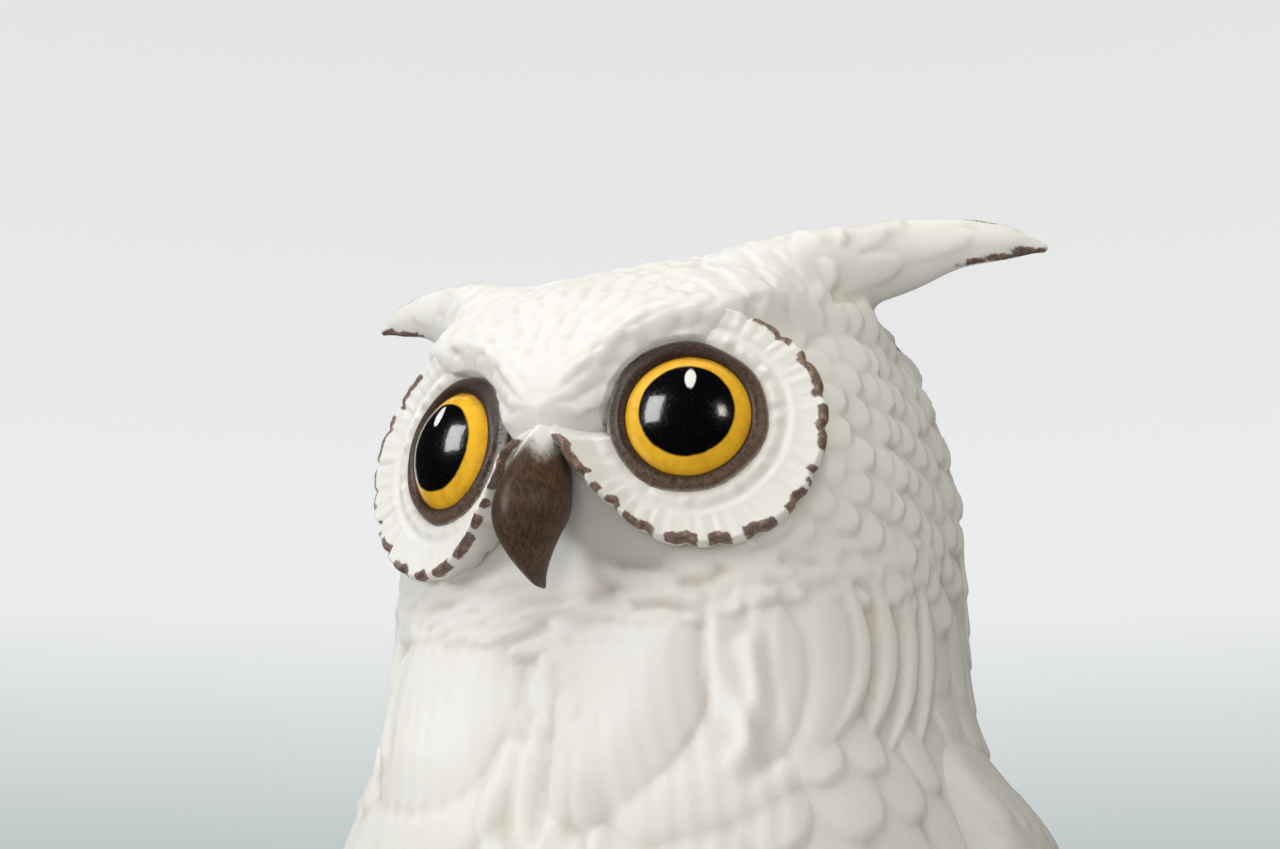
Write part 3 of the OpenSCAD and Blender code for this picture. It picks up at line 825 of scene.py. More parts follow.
# The castings' surface: head, tufts and body are meshed as one skin, and then cut into their pieces
meshSteps = {
    "x": [(-90, 1.0), (-62, 0.74), (62, 0.74), (91, 1.0)],
    "y": [(-76, 0.66), (-14, 0.74), (20, 1.3), (72, 1.5)],
    "z": [(41, 1.7), (150, 1.4), (192, 0.95), (226, 0.72), (338, 0.7)],
}
skin, skinFaces = meshField(owlField, *(axisMap(meshSteps[k]) for k in "xyz"))
skin = relax(skin, skinFaces, owlField)
cuts = [(Vector((0, 0, owl["neckZ"])), Vector((0, 0, 1)), lambda c: abs(c.z - owl["neckZ"]) < 3)]
for side, _ in sides:
    at, across = tuftCut(side)
    cuts.append((Vector(at), Vector(across),
                 lambda c, s=side: s * c.x > tuft["cutOut"] and c.z > tuft["cutLow"]))
skin, skinFaces = cutMesh(skin, skinFaces, cuts)
skin = sinkUnderDiscs(skin)
skinEdges = edgesOf(skinFaces)
skinNormals = normalsOf(skin, skinFaces)
relief = Relief(skin, skinNormals)
print("skin meshed:", len(skin), "points")

plumage = {
    "bridge": np.array([0.0, -69.5, 281.0]),
    "browHeight": 1.7,
    "sideHeight": 2.3,
    "ruffHeight": 1.9,
    "backHeight": 1.9,
    "scaleHeight": 1.9,
    "napeHeight": 1.5,
    "sunk": 1.5,
}


def crownFeathers():  # small on the bridge, larger as they fan out over the crown and down the nape
    angles = np.radians(np.linspace(-112, 112, 141))
    headings = np.c_[np.sin(angles), np.zeros(len(angles)), np.cos(angles)]
    rows = []
    s = 5.0
    while s < 205:
        width = min(3.6 + 0.085 * s, 13.0)
        gap = min(2.9 + 0.033 * s, 7.5)
        rise = plumage["browHeight"] * min(0.55 + 0.012 * s, 1.35)
        rows.append((s + gap, width, gap * 2.1, rise))
        s += gap

    def allowed(c):
        side = abs(c[0])
        if side > 47 and c[2] > 300:
            return False
        if c[1] < -20:
            return c[2] > browLine(c[0]) - 2.5 and c[2] > 283 - 6 * np.exp(-(side / 9) ** 2)
        if c[1] < 22:
            return c[2] > 304 - 0.35 * max(0, c[1])
        return c[2] > 262
    fanFeathers(relief, plumage["bridge"], headings, rows, allowed, owlField)


def sideFeathers(side):  # rows round the outer half of a disc
    a = math.radians(owl["eyeTurn"])
    eye = np.array([side * owl["eyeX"], owl["eyeSeatY"], owl["eyeZ"]])
    x = np.array([side * math.cos(a), math.sin(a), 0])
    turns = np.radians(np.linspace(-72, 96, 101))
    headings = np.outer(np.cos(turns), x) + np.outer(np.sin(turns), [0, 0, 1.0])
    rows = []
    s = 25.0
    while s < 82:
        grown = (s - 25) / 57
        rows.append((s, 8.5 + 3.5 * grown, 10.5 + 2.5 * grown,
                     plumage["sideHeight"] * (0.8 + 0.4 * grown)))
        s += 5.6 + 0.8 * grown

    def allowed(c):
        low = 243 + 3.5 * math.sin(c[1] * 0.3 + c[0] * 0.2)
        return c[2] > low and c[1] < 26 and c[2] < 307 and side * c[0] > 30 and (
            c[1] > -26 or c[2] < browLine(c[0]) + 4)
    fanFeathers(relief, eye, headings, rows, allowed, owlField)


def bodyRowsOf(zTop, zBottom, wanted, height):  # overlapping rows all round, tips down
    z = zTop
    number = 0
    while z > zBottom:
        share = (zTop - z) / (zTop - zBottom)
        width = 12 + 7 * share
        gap = 8.0 + 4.0 * share
        radius = float(np.interp(z, shapeTable[:, 0], shapeTable[:, 1:3].mean(1)))
        count = int(2 * math.pi * radius / (width * 0.86))
        for k in range(count):
            theta = 360 * (k + 0.5 * (number % 2)) / count - 180 + rng.normal(0, 0.06) * width
            level = z + rng.normal(0, 0.08) * gap
            if not wanted(theta, level):
                continue
            at, out, down = onBody(theta, level)
            down = unit(down + np.cross(out, down) * rng.normal(0, 0.07))
            relief.feather(at, down, out, gap * 2.0, width * (1 + rng.normal(0, 0.06)),
                           height * (1 + rng.normal(0, 0.12)), tip=0.55, edge=1.5, curl=rng.normal(0, 0.5))
        z -= gap
        number += 1


def ruffFeathers():  # rows of long low lumps between the discs and the breast, sweeping out and up
    for side in (1, -1):
        for start, end, count, level, rise in (
                (26, 84, 9, 249.5, 0.8), (9, 86, 14, 245.8, 1.0), (3, 88, 16, 241.8, 1.15),
                (0, 90, 17, 237.6, 1.05)):
            for k in range(count):
                share = (k + 0.5 + rng.normal(0, 0.16)) / count
                theta = start + share * (end - start)
                z = level + 10.5 * (theta / 78) ** 1.35 + rng.normal(0, 1.1)
                at, out, down = onBody(side * theta, z)
                a = math.radians(side * theta)
                outward = side * np.array([math.cos(a), math.sin(a), 0])
                heading = unit(outward + down * (0.30 - 0.55 * share + rng.normal(0, 0.14)))
                length = 13.5 - 2.5 * share + rng.normal(0, 1.8)
                relief.feather(at, heading, out, length, 5.4 + 1.8 * share + rng.normal(0, 0.5),
                               plumage["ruffHeight"] * (rise + rng.normal(0, 0.14)),
                               tip=1.0, edge=2.0, start=0.55, dome=0.55)


# Outlines of the breast's lobes: degrees round from the front and height, with the rise at the edge,
# the width of the rounded edge, the direction in which the lobe stands out, how much it tilts, and how
# far its middle swells
lobes = [
    {"line": [(-7, 240), (14, 242), (27, 240), (32, 229), (29, 216), (22, 206), (12, 198), (3, 199),
              (-2, 213), (-5, 228)], "rise": 2.6, "edge": 9, "to": (0.9, -0.45), "tilt": 0.9, "swell": 2.6},
    {"line": [(29, 242), (40, 245), (47, 240), (50, 229), (47, 217), (40, 206), (32, 202), (27, 208),
              (29, 222)], "rise": 2.2, "edge": 6, "to": (0.95, -0.3), "tilt": 0.85, "swell": 1.2},
    {"line": [(45, 246), (52, 248), (58, 242), (60, 231), (56, 219), (49, 210), (42, 206), (45, 226)],
     "rise": 2.2, "edge": 5, "to": (1, -0.2), "tilt": 0.85, "swell": 0.8},
    {"line": [(-9, 241), (-30, 244), (-44, 243), (-51, 233), (-51, 220), (-43, 208), (-30, 202),
              (-19, 204), (-12, 216)],
     "rise": 2.2, "edge": 8, "to": (-0.8, -0.6), "tilt": 0.85, "swell": 2.2},
    {"line": [(20, 214), (34, 216), (45, 212), (47, 206), (39, 199), (28, 195), (18, 194), (11, 201)],
     "rise": 2.0, "edge": 6, "to": (0.4, -0.9), "tilt": 0.9, "swell": 0.8},
    {"line": [(-42, 212), (-26, 210), (-12, 209), (-8, 201), (-17, 193), (-30, 191), (-43, 197)],
     "rise": 1.6, "edge": 6, "to": (0.0, -1), "tilt": 0.9, "swell": 0.8},
]
for side, first, count, step in ((1, 55, 4, 7.2), (-1, 48, 4, 8.2)):  # narrow lobes, nested and curving
    for k in range(count):
        t = first + k * step
        top = 251 + 1.2 * k
        line = [(t - 3, top), (t + 2, top), (t + 6, top - 7), (t + 8.5, top - 16), (t + 7, top - 25),
                (t + 1, top - 34), (t - 8, top - 42), (t - 1, top - 30), (t + 2.5, top - 20),
                (t + 2, top - 10)]
        lobes.append({"line": [(side * a, z) for a, z in line], "rise": 2.5 - 0.2 * k, "edge": 2.9,
                      "to": (side, -0.1), "tilt": 0.5, "swell": 0.3})
folds = [  # soft upright folds down the middle of the breast, and inside the second lobe
    [(-4, 218), (-5, 206), (-3, 194)], [(2, 222), (3, 208), (0, 192)], [(7, 216), (8, 204), (12, 192)],
    [(-9, 214), (-11, 202), (-9, 192)],
    [(33, 236), (34, 224), (38, 212)], [(38, 232), (39, 222), (36, 210)],
    [(-2, 234), (-5, 228), (-3, 220)], [(-46, 236), (-47, 226), (-43, 216)],
]


breast = {
    "radius": 60.0,
    "low": 184.0,
    "high": 254.0,
    "round": 86.0,
}


def closedCurve(line):  # a smooth closed outline through a ring of points
    ring = np.array(line, float)
    return catmull(np.vstack([ring[-1], ring, ring[:2]]), (len(ring) + 2) * 8 + 1)[8:-8]


def unrolled(theta):  # degrees round the breast as millimetres along it
    return np.radians(theta) * breast["radius"]


def distanceTo(line, x, z, closed):  # from a line, or how far inside a closed one
    best = np.full(len(x), 1e9)
    crossings = np.zeros(len(x), int)
    for (ax, az), (bx, bz) in zip(line[:-1], line[1:]):
        ex, ez = bx - ax, bz - az
        t = np.clip(((x - ax) * ex + (z - az) * ez) / (ex * ex + ez * ez + 1e-9), 0, 1)
        best = np.minimum(best, np.hypot(x - ax - t * ex, z - az - t * ez))
        if closed:
            hit = ((az > z) != (bz > z)) & (x < ax + (z - az) * ex / (ez if abs(ez) > 1e-9 else 1e-9))
            crossings += hit
    return np.where(crossings % 2 == 1, best, -best) if closed else best


swell = np.zeros(len(skin))


def breastLobes():
    theta = np.degrees(np.arctan2(skin[:, 0], -skin[:, 1]))
    z = skin[:, 2]
    front = np.flatnonzero((z > breast["low"]) & (z < breast["high"]) & (np.abs(theta) < breast["round"]))
    x = unrolled(theta[front])
    z = z[front]
    for lobe in lobes:
        outline = closedCurve(lobe["line"])
        outline[:, 0] = unrolled(outline[:, 0])
        inside = distanceTo(outline, x, z, True)
        middle = outline.mean(0)
        reach = np.abs((outline - middle) @ np.array(lobe["to"])).max()
        lean = ((x - middle[0]) * lobe["to"][0] + (z - middle[1]) * lobe["to"][1]) / reach
        rim = np.sqrt(1 - (1 - np.clip(inside / lobe["edge"], 0, 1)) ** 2) * smooth(inside / 1.2)
        rise = lobe["rise"] * rim * (1 - lobe["tilt"] * (0.5 - 0.5 * np.clip(lean, -1, 1)))
        ok = inside > 0
        relief.lift(front[ok], rise[ok], x[ok])
        swell[front] += lobe["swell"] * smooth(inside / 13)
    for fold in folds:
        line = catmull(np.array(fold, float), 14)
        line[:, 0] = unrolled(line[:, 0])
        off = distanceTo(line, x, z, False)
        swell[front] += 1.0 * np.exp(-(off / 1.9) ** 2) - 0.5 * np.exp(-((off - 3.8) / 2.0) ** 2)


def flankScales():  # large overlapping scales below the lobes, and the rows that go on to the feet
    for side in (1, -1):
        for theta, z, turn, width, length in (
                (47, 213, 35, 15, 19), (57, 214, 25, 12, 15), (52, 204, 35, 17, 21), (63, 206, 25, 13, 16),
                (70, 212, 15, 10, 15), (40, 201, 25, 17, 20), (60, 195, 30, 17, 21), (71, 199, 15, 12, 16),
                (48, 193, 30, 18, 21), (74, 188, 10, 14, 18), (30, 192, 15, 17, 20)):
            if side < 0:
                theta = theta + rng.normal(0, 1.5)
                z = z + rng.normal(0, 1.2)
            at, out, down = onBody(side * theta, z)
            outward = np.cross(down, out) * side
            if outward[0] * side < 0:
                outward = -outward
            heading = unit(down + outward * math.tan(math.radians(turn)))
            relief.feather(at, heading, out, length, width, plumage["scaleHeight"], edge=1.4, dome=0.45)


def tuftFeathers(side):  # each at a share of the length and an angle round the tuft, 0 to the front, 90 up
    for share, turn, width, length, lift in (
            (0.10, 40, 10, 26, 1.0), (0.16, 75, 11, 26, 1.0), (0.14, 8, 10, 26, 0.9),
            (0.30, 25, 11, 30, 1.0), (0.34, 62, 11, 30, 1.0), (0.36, 100, 10, 28, 0.9),
            (0.34, -25, 9, 30, 0.9), (0.52, 40, 9, 30, 0.8), (0.58, 80, 9, 28, 0.8),
            (0.54, -5, 8, 30, 0.7), (0.74, 50, 6, 26, 0.5), (0.76, 5, 5, 24, 0.4),
            (0.30, 150, 10, 30, 1.0), (0.55, 150, 8, 28, 0.8), (0.20, 190, 9, 26, 0.9),
            (0.44, 205, 8, 28, 0.8)):
        spine, high, deep = tuftSpine(side, share)
        ahead = tuftSpine(side, share + 0.05)[0]
        along = unit(ahead - spine)
        a = math.radians(turn)
        radial = np.array([0, -math.cos(a) * deep, math.sin(a) * high])
        at = (spine + radial)[None]
        at, out = settle(at, owlField)
        relief.feather(at[0], along, out[0], length, width, lift, tip=1.0, edge=1.3, start=0.15)


crownFeathers()
for side in (1, -1):
    sideFeathers(side)
    tuftFeathers(side)
print("head feathers laid")
bodyRowsOf(262, 196, lambda theta, z: abs(theta) > 84 and (abs(theta) > 112 or z < 238),
           plumage["napeHeight"])
bodyRowsOf(190, 52, lambda theta, z: True, plumage["backHeight"])
flankScales()
breastLobes()
ruffFeathers()
print("body feathers laid")


def strands(theta, z):  # the faint upright ripple down the middle of the breast
    wave = 0.16 * np.sin(theta * 1.6 + 2.2 * np.sin(z / 8.5) + 0.05 * z)
    return wave * smooth((250 - z) / 8) * smooth((z - 180) / 8) * smooth((52 - np.abs(theta)) / 12)


swell += strands(np.degrees(np.arctan2(skin[:, 0], -skin[:, 1])), skin[:, 2])
swell = spread(swell, skinEdges, 4)
sunk = plumage["sunk"] * (1 - smooth((np.abs(skin[:, 0]) - 66) / 14))
lift = spread(relief.height, skinEdges, 1) + swell - sunk
# how far each point lies below its neighbours; the bisque is painted darker there as shade
around = spread(lift, skinEdges, 24)
crevice = np.clip((around - lift) / 0.75, 0, 1)
skinOut = skin + skinNormals * lift[:, None]
skinNormals = normalsOf(skinOut, skinFaces)


def takePiece(name, wanted, slot, look, *nodes, extra=None):
    faces = skinFaces[wanted]
    used = np.unique(faces)
    index = np.full(len(skinOut), -1)
    index[used] = np.arange(len(used))
    faces = index[faces]
    points = skinOut[used]
    normals = skinNormals[used]
    edges, counts = np.unique(np.sort(np.vstack([faces[:, [i, (i + 1) % 4]] for i in range(4)]), axis=1),
                              axis=0, return_counts=True)
    rims = edges[(counts == 1) & (edges[:, 0] != edges[:, 1])]
    values = {"crevice": crevice[used], "barb": relief.barb[used], "fine": fineness(points)}
    for key, value in (extra or {}).items():
        values[key] = value(points)
    points, normals, faces, values = closed(points, normals, faces, values, rims)
    obj = makeMesh(name, points, faces, look, normals, values)
    return place(obj, slot, *nodes)


def closed(points, normals, faces, values, rims):  # closes each cut with a fan of faces
    ways = {}
    for i in range(4):
        for a, b in faces[:, [i, (i + 1) % 4]]:
            ways[(a, b)] = True
    links = {}
    for a, b in rims:
        if (a, b) in ways:
            links[b] = a
        else:
            links[a] = b
    while links:
        first = next(iter(links))
        loop = [first]
        while loop[-1] in links:
            after = links.pop(loop[-1])
            if after == first:
                break
            loop.append(after)
        if len(loop) < 3:
            continue
        hub = len(points)
        points = np.vstack([points, points[loop].mean(0)])
        normals = np.vstack([normals, unit(normals[loop].mean(0) + [0, 0, 1e-3])])
        values = {key: np.r_[value, value[loop].mean()] for key, value in values.items()}
        ring = np.array(loop)
        faces = np.vstack([faces, np.c_[ring, np.roll(ring, -1), np.full(len(ring), hub),
                                        np.full(len(ring), hub)]])
    return points, normals, faces, values


def fineness(points):  # how clearly the barbs of the feathers show: most on the flanks and the back
    z = points[:, 2]
    theta = np.degrees(np.arctan2(points[:, 0], -points[:, 1]))
    flank = smooth((z - 180) / 8) * smooth((219 - z) / 10) * smooth((np.abs(theta) - 36) / 10)
    return 0.08 + 0.26 * flank + 0.16 * smooth((200 - z) / 20)


def tuftStrokes(side):  # brush strokes along a tuft's lower edge near its tip, and a few on its top
    def strokeOf(points):
        best = np.full(len(points), 9.0)
        for share, low, length, thick in (
                (0.955, -1.0, 5.0, 1.3), (0.86, -1.0, 4.6, 1.0), (0.79, -0.96, 4.0, 0.8),
                (0.72, -0.92, 2.2, 0.6), (0.80, 0.95, 2.6, 0.8), (0.75, 0.9, 1.6, 0.6),
                (0.70, 0.95, 1.2, 0.5)):
            at, high, deep = tuftSpine(side, share)
            ahead = tuftSpine(side, min(share + 0.03, 1.0))[0]
            along = unit(ahead - at + 1e-6)
            at = at + np.array([0, -0.5 * deep if low < 0 else -0.35 * deep, low * high])
            r = points - at
            u = np.abs(r @ along) - length
            w = np.linalg.norm(r - np.outer(r @ along, along), axis=1) - thick
            best = np.minimum(best, np.maximum(u, w))
        return np.clip(best, -3, 9)
    return strokeOf


cutBase = skin[skinFaces].mean(1)
isTuft = {}
for side, _ in sides:
    at, across = tuftCut(side)
    beyond = (cutBase - at) @ across > 0
    isTuft[side] = beyond & (side * cutBase[:, 0] > tuft["cutOut"]) & (cutBase[:, 2] > tuft["cutLow"])
isHead = (cutBase[:, 2] > owl["neckZ"]) & ~isTuft[1] & ~isTuft[-1]
isBody = cutBase[:, 2] < owl["neckZ"]
takePiece("head", isHead, "bisque", bisqueLook, "head_shell")
takePiece("body", isBody, "bisque", bisqueLook, "body_shell")
for side, word in sides:
    takePiece("ear_tuft_" + word + "_bisque", isTuft[side], "bisque", brushedLook, "ear_tuft_" + word,
              extra={"stroke": tuftStrokes(side), "wash": lambda p: np.zeros(len(p))})
print("castings cut into pieces")

# Facial discs: angles between which each brush stroke runs round the rim
discDashes = [
    (-171, -146), (-141, -136), (-132, -124), (-121, -105), (-100, -86), (-81.5, -71.5), (-66, -52),
    (-46, -34.5), (-32.5, -30), (-27, -24), (-17, 3), (6.5, 30), (35, 57)]


def ripple(degrees):  # from -1 to 1
    return math.sin(math.radians(degrees))


def discMesh(side):
    turns = np.linspace(disc["from"], disc["to"], 290)
    across = np.r_[0, np.cumsum(np.r_[np.full(10, 0.45), np.full(14, 0.42), np.full(9, 0.2)])]
    across = across / across[-1]  # from the lid to the rim, closest together at the rim
    phase = rng.uniform(0, 360, 6)
    uneven = np.r_[0, rng.normal(0, 2.0, disc["feathers"] - 1), 0]
    edges = np.linspace(disc["from"], disc["browEnd"], disc["feathers"] + 1) + uneven
    edges = np.r_[edges, disc["to"]]
    rings, marks, washes, barbs = [], [], [], []
    for t in turns:
        a = math.radians(t)
        gap = np.abs(t - edges).min() * math.radians(1) * 26  # to the nearest parting between two feathers
        reach = float(discReach(t)) + 1.3 * max(math.cos(a), 0) - 0.8 * math.exp(-(gap / 1.1) ** 2)
        reach += 0.25 * ripple(t * 5 + phase[0])
        top = disc["thick"] + float(discLift(t))
        r = disc["inner"] + across * (reach - disc["inner"])
        q = (r - 15.4) / (reach - 15.4)
        dish = 1.0 + (top - 1.0) * (0.3 * q + 0.7 * np.clip(q, 0, 1) ** 2)
        lump = 0.55 + 0.25 * ripple(t * 21 + phase[1]) + 0.2 * ripple(t * 33 + phase[2])
        strong = 0.45 + 0.55 * (0.5 + 0.5 * math.cos(math.radians(t - 30)))
        h = dish + (0.95 * lump * strong + 0.25) * np.exp(-((r - disc["frill"]) / 1.25) ** 2)
        h -= 0.34 * np.exp(-((r - disc["groove"]) / 0.8) ** 2) * strong * (0.6 + 0.8 * lump)
        h += 0.18 * np.exp(-((r - disc["ridge"]) / 1.0) ** 2) * strong
        h -= 0.42 * math.exp(-(gap / 0.55) ** 2) * smooth(q * 2.4 - 0.9)
        h += 0.10 * ripple(t * 47 + phase[3]) * smooth(q * 3 - 1)
        h -= 0.9 * np.clip((q - 0.93) / 0.07, 0, 1) ** 2
        h += (np.minimum(h, browBowl(r) - 3.4 - 6 * smooth((t % 360 - 150) / 20)) - h) * browCover(t)
        h[0] = 0.4
        wall = np.array([[reach + 0.18, h[-1] - 0.9], [reach + 0.10, h[-1] - 2.4],
                         [reach - 0.9, disc["bedded"]], [disc["inner"], disc["bedded"]]])
        loop = np.vstack([np.c_[r, h], wall])
        rings.append(fromEye(loop[:, 0] * math.cos(a), loop[:, 0] * math.sin(a), loop[:, 1], side))
        off = min(max(start - t, t - end) for start, end in discDashes) * math.radians(1) * reach
        thick = disc["brush"] + 0.4 * ripple(t * 4 + phase[4])
        down = np.r_[np.zeros(len(r)), 0.6, 2.2, 5, 9]
        marks.append(np.maximum(np.maximum(reach - thick - loop[:, 0], off), down - 1.6))
        washes.append(np.exp(-np.clip(loop[:, 0] - 15.6, 0, 9) / 0.75) * (loop[:, 1] > 0))
        barbs.append(np.full(len(loop), a * 22))
    points, faces = loopGrid(rings)
    if side < 0:
        faces = flipped(faces)
    ends = [np.mean(marks[0]), np.mean(marks[-1])]
    values = {"stroke": np.r_[np.clip(np.concatenate(marks), -3, 9), ends],
              "wash": np.r_[np.concatenate(washes), 0, 0], "barb": np.r_[np.concatenate(barbs), 0, 0],
              "fine": np.full(len(points), 0.45), "crevice": np.zeros(len(points))}
    return points, outward(points, faces), values


def outward(points, faces):  # turns a closed mesh the right way out
    a, b, c, d = (points[faces[:, k]] for k in range(4))
    volume = (a * np.cross(b, c)).sum() + (a * np.cross(c, d)).sum()
    return faces if volume > 0 else flipped(faces)


def lidMesh(side):
    wobble = rng.uniform(0, 360, 4)
    rings = []
    fade = []
    worn = []
    for t in np.linspace(0, 360, 181)[:-1]:
        a = math.radians(t)
        out = 0.25 * math.sin(3 * a + wobble[0]) + 0.16 * math.sin(7 * a + wobble[1])
        heavy = 0.8 * math.exp(-((t - 140) / 45) ** 2)
        tall = 0.12 * math.sin(5 * a + wobble[2])
        loop = np.array([[12.35, -1.0], [12.35, 0.9], [12.75, 1.9], [13.5, 2.45 + tall], [14.3, 2.5 + tall],
                         [15.1 + out * 0.5, 2.15], [15.7 + out + heavy * 0.5, 1.6],
                         [16.1 + out + heavy, 1.05], [16.2 + out + heavy, -1.0]])
        loop = catmull(np.vstack([loop, loop[:1]]), 33)[:-1]
        rings.append(fromEye(loop[:, 0] * math.cos(a), loop[:, 0] * math.sin(a), loop[:, 1], side))
        fade.append(0.5 * smooth((loop[:, 0] - 15.4 - out - heavy) / 1.1) * (loop[:, 1] > 0.2))
        away = (0.5 - 0.5 * math.cos(math.radians(t - 130))) * smooth((loop[:, 0] - 12.9) / 2)
        worn.append(away * 1.3 - 0.5 + 0.25 * math.sin(31 * a + wobble[3]) * away)
    points, faces = loopGrid(rings, endless=True)
    return points, outward(points, faces), {"fade": np.concatenate(fade), "worn": np.concatenate(worn)}


eye = {
    "radius": 12.8,
    "dome": 17.0,
    "seat": 1.68,
    "bulge": 5.8,
}


def eyeMesh(side):
    wide, dome = eye["radius"], eye["dome"]
    centre = eye["seat"] + eye["bulge"] - dome
    profile = [(r, centre + math.sqrt(dome ** 2 - r ** 2)) for r in np.linspace(0.15, wide, 34)]
    profile += [(wide, 0.5), (wide, -3.8), (wide - 0.6, -4.0)]
    turns = np.radians(np.linspace(0, 360, 121)[:-1])
    rings = [fromEye(r * np.cos(turns), r * np.sin(turns), np.full(len(turns), h), side)
             for r, h in profile]
    points, faces = loopGrid(rings)
    x, y, _ = eyeView(points, side)
    return points, outward(points, faces), {"gazeX": x * side, "gazeY": y}


for side, word in sides:
    points, faces, values = discMesh(side)
    place(makeMesh("facial_disc_" + word + "_bisque", points, faces, brushedLook, None, values), "bisque",
          "facial_disc_" + word)
    points, faces, values = lidMesh(side)
    place(makeMesh("eyelid_" + word + "_stained", points, faces, lidLook, None, values), "brown_stain",
          "eyelid_" + word)
    points, faces, values = eyeMesh(side)
    place(makeMesh("eye_" + word + "_glazed", points, faces, glazeLook, None, values), "eye_glaze",
          "eye_" + word)
print("face made")

beak = {
    "rootZ": 275.0,
    "rootY": -67.0,
    "long": 30.0,
    "half": 7.7,
}
# Share down the beak, how far the ridge stands out, and the half width's share
beakRows = np.array([
    [-0.10, -2.5, 0.30], [0.04, 1.5, 0.52], [0.20, 5.0, 0.78], [0.36, 8.2, 0.95], [0.52, 9.8, 1.00],
    [0.66, 9.4, 0.82], [0.80, 6.6, 0.55], [0.91, 2.6, 0.30], [0.98, -1.0, 0.13], [1.00, -2.4, 0.03]])


def beakMesh():
    rings = []
    fade = []
    turns = np.radians(np.linspace(0, 360, 73)[:-1])
    for down, out, share in catmull(beakRows, 70):
        half = beak["half"] * max(share, 0.02)
        depth = 1.25 * half + (1 - share) * 1.5 + 1.5 * max(0, 0.5 - down)
        front = beak["rootY"] - out
        c = np.cos(turns)
        s = np.sin(turns)
        x = half * s * (1 - 0.22 * np.clip(c, 0, 1) ** 2)
        y = front + depth * (1 - np.sign(c) * np.abs(c) ** 1.15)
        z = beak["rootZ"] - beak["long"] * down - 0.16 * half * (1 - c) * (down > 0.5) * (down - 0.5)
        rings.append(np.c_[x, y, z])
        brush = 0.05 * np.sin(turns * 5 + 1)
        fade.append(1 - smooth((down + brush + 0.03) / 0.24))
    points, faces = loopGrid(rings)
    return points, outward(points, faces), {"fade": np.r_[np.concatenate(fade), 1, 0]}


points, faces, values = beakMesh()
place(makeMesh("beak_stained", points, faces, beakLook, None, values), "dark_stain", "beak")

wing = {
    "thick": 7.8,
    "shoulderZ": 223.0,
    "tipZ": 97.0,
    "feathers": 6,
    "quillHalf": 10.0,
    "sunk": 0.8,
    "coverts": [(-17, 205), (-10, 219), (8, 225), (40, 217), (72, 208), (84, 190), (78, 160), (50, 152),
                (10, 151), (-8, 158), (-16, 178)],
}


def wingPlan(y, z):  # how far inside the wing's outline, seen from the side, and the long feathers' share
    inside = distanceTo(closedCurve(wing["coverts"]), y, z, True)
    quills = np.full(len(y), -99.0)
    for k in range(wing["feathers"]):
        quills = np.maximum(quills, wing["quillHalf"] - distanceTo(quillOf(k), y, z, False))
    return inside, quills


def quillOf(k):  # root and tip of a long feather
    share = k / (wing["feathers"] - 1)
    return np.array([[6 + 52 * share, 168.0],
                     [4 + share * 66, wing["tipZ"] + 9 + 30 * (1 - share) ** 1.4]])


def wingField(x, y, z):  # a shell over the casting, thick at the coverts and thin at the long feathers
    casting = castingField(x, y, z)
    inside, quills = wingPlan(y, z)
    rise = smooth((wing["shoulderZ"] - z) / 34 + 0.16)
    full = -2 + (wing["thick"] + 1.5) * rise
    thin = -2 + (wing["thick"] + 2) * 0.66 * rise
    a = -blendMin(full - casting, inside, 7.0)
    b = -blendMin(thin - casting, quills, 3.0)
    f = blendMin(a, b, 1.5)
    f = np.maximum(f, -(casting + 4.5))
    return np.maximum(f, 4 + (z - 105) * 0.244 - x)  # the wings part towards the shoulders


wingPoints, wingFaces = meshField(
    wingField, axisMap([(2, 0.95), (88, 0.95)]), axisMap([(-26, 0.85), (30, 0.95), (74, 1.1)]),
    axisMap([(92, 1.1), (190, 0.9), (230, 0.9)]))
wingEdges = edgesOf(wingFaces)
wingNormals = normalsOf(wingPoints, wingFaces)
for c in range(3):
    wingNormals[:, c] = spread(wingNormals[:, c], wingEdges, 3)
wingNormals = unit(wingNormals)
wingRelief = Relief(wingPoints, wingNormals)


def onWing(y, z):  # a point on the wing's outer face
    x = np.linspace(90, 2, 180)
    f = wingField(x, np.full(180, float(y)), np.full(180, float(z)))
    k = np.argmax(f < 0)
    if not (f < 0).any():
        return None
    p = np.array([[x[k], y, z]])
    n = unit(gradientOf(wingField, p, 1.0))[0]
    return p[0], n


def wingFeathers():
    for k in range(wing["feathers"]):  # the long feathers, the front one uppermost
        root, tip = quillOf(k)
        step = tip - root
        at, out = onWing(*(root + step * 0.5))
        wingRelief.feather(at, np.array([0, step[0], step[1]]), out, np.linalg.norm(step) * 1.25 + 12,
                           2 * wing["quillHalf"] - 3, 2.6 - 0.25 * k,
                           tip=0.7, edge=1.3, start=0.35, dome=0.35)
    rows = [(206, -12, 62, 10, 1.2), (197, -14, 66, 11, 1.3), (187, -14, 70, 12, 1.5),
            (176, -13, 72, 13, 1.7), (164, -9, 70, 15, 2.0), (154, -4, 68, 16, 2.2)]
    for number, (z, front, back, width, height) in enumerate(rows):
        y = front + 0.5 * width * (number % 2)
        while y < back:
            spot = onWing(y, z - 0.06 * (y - front))
            y += width * 0.86
            if spot is None:
                continue
            at, out = spot
            along = np.array([0, 0.42 + rng.normal(0, 0.05), -1.0])
            wingRelief.feather(at, along, out, width * 1.7, width * (1 + rng.normal(0, 0.05)),
                               height, tip=0.6, edge=1.3, dome=0.35)


wingFeathers()
wingLift = spread(wingRelief.height, wingEdges, 2)
# how far each point lies below its neighbours; the bisque is painted darker there as shade
wingCrevice = np.clip((spread(wingLift, wingEdges, 22) - wingLift) / 0.8, 0, 1)
wingPoints = wingPoints + wingNormals * (wingLift - wing["sunk"])[:, None]
wingNormals = normalsOf(wingPoints, wingFaces)


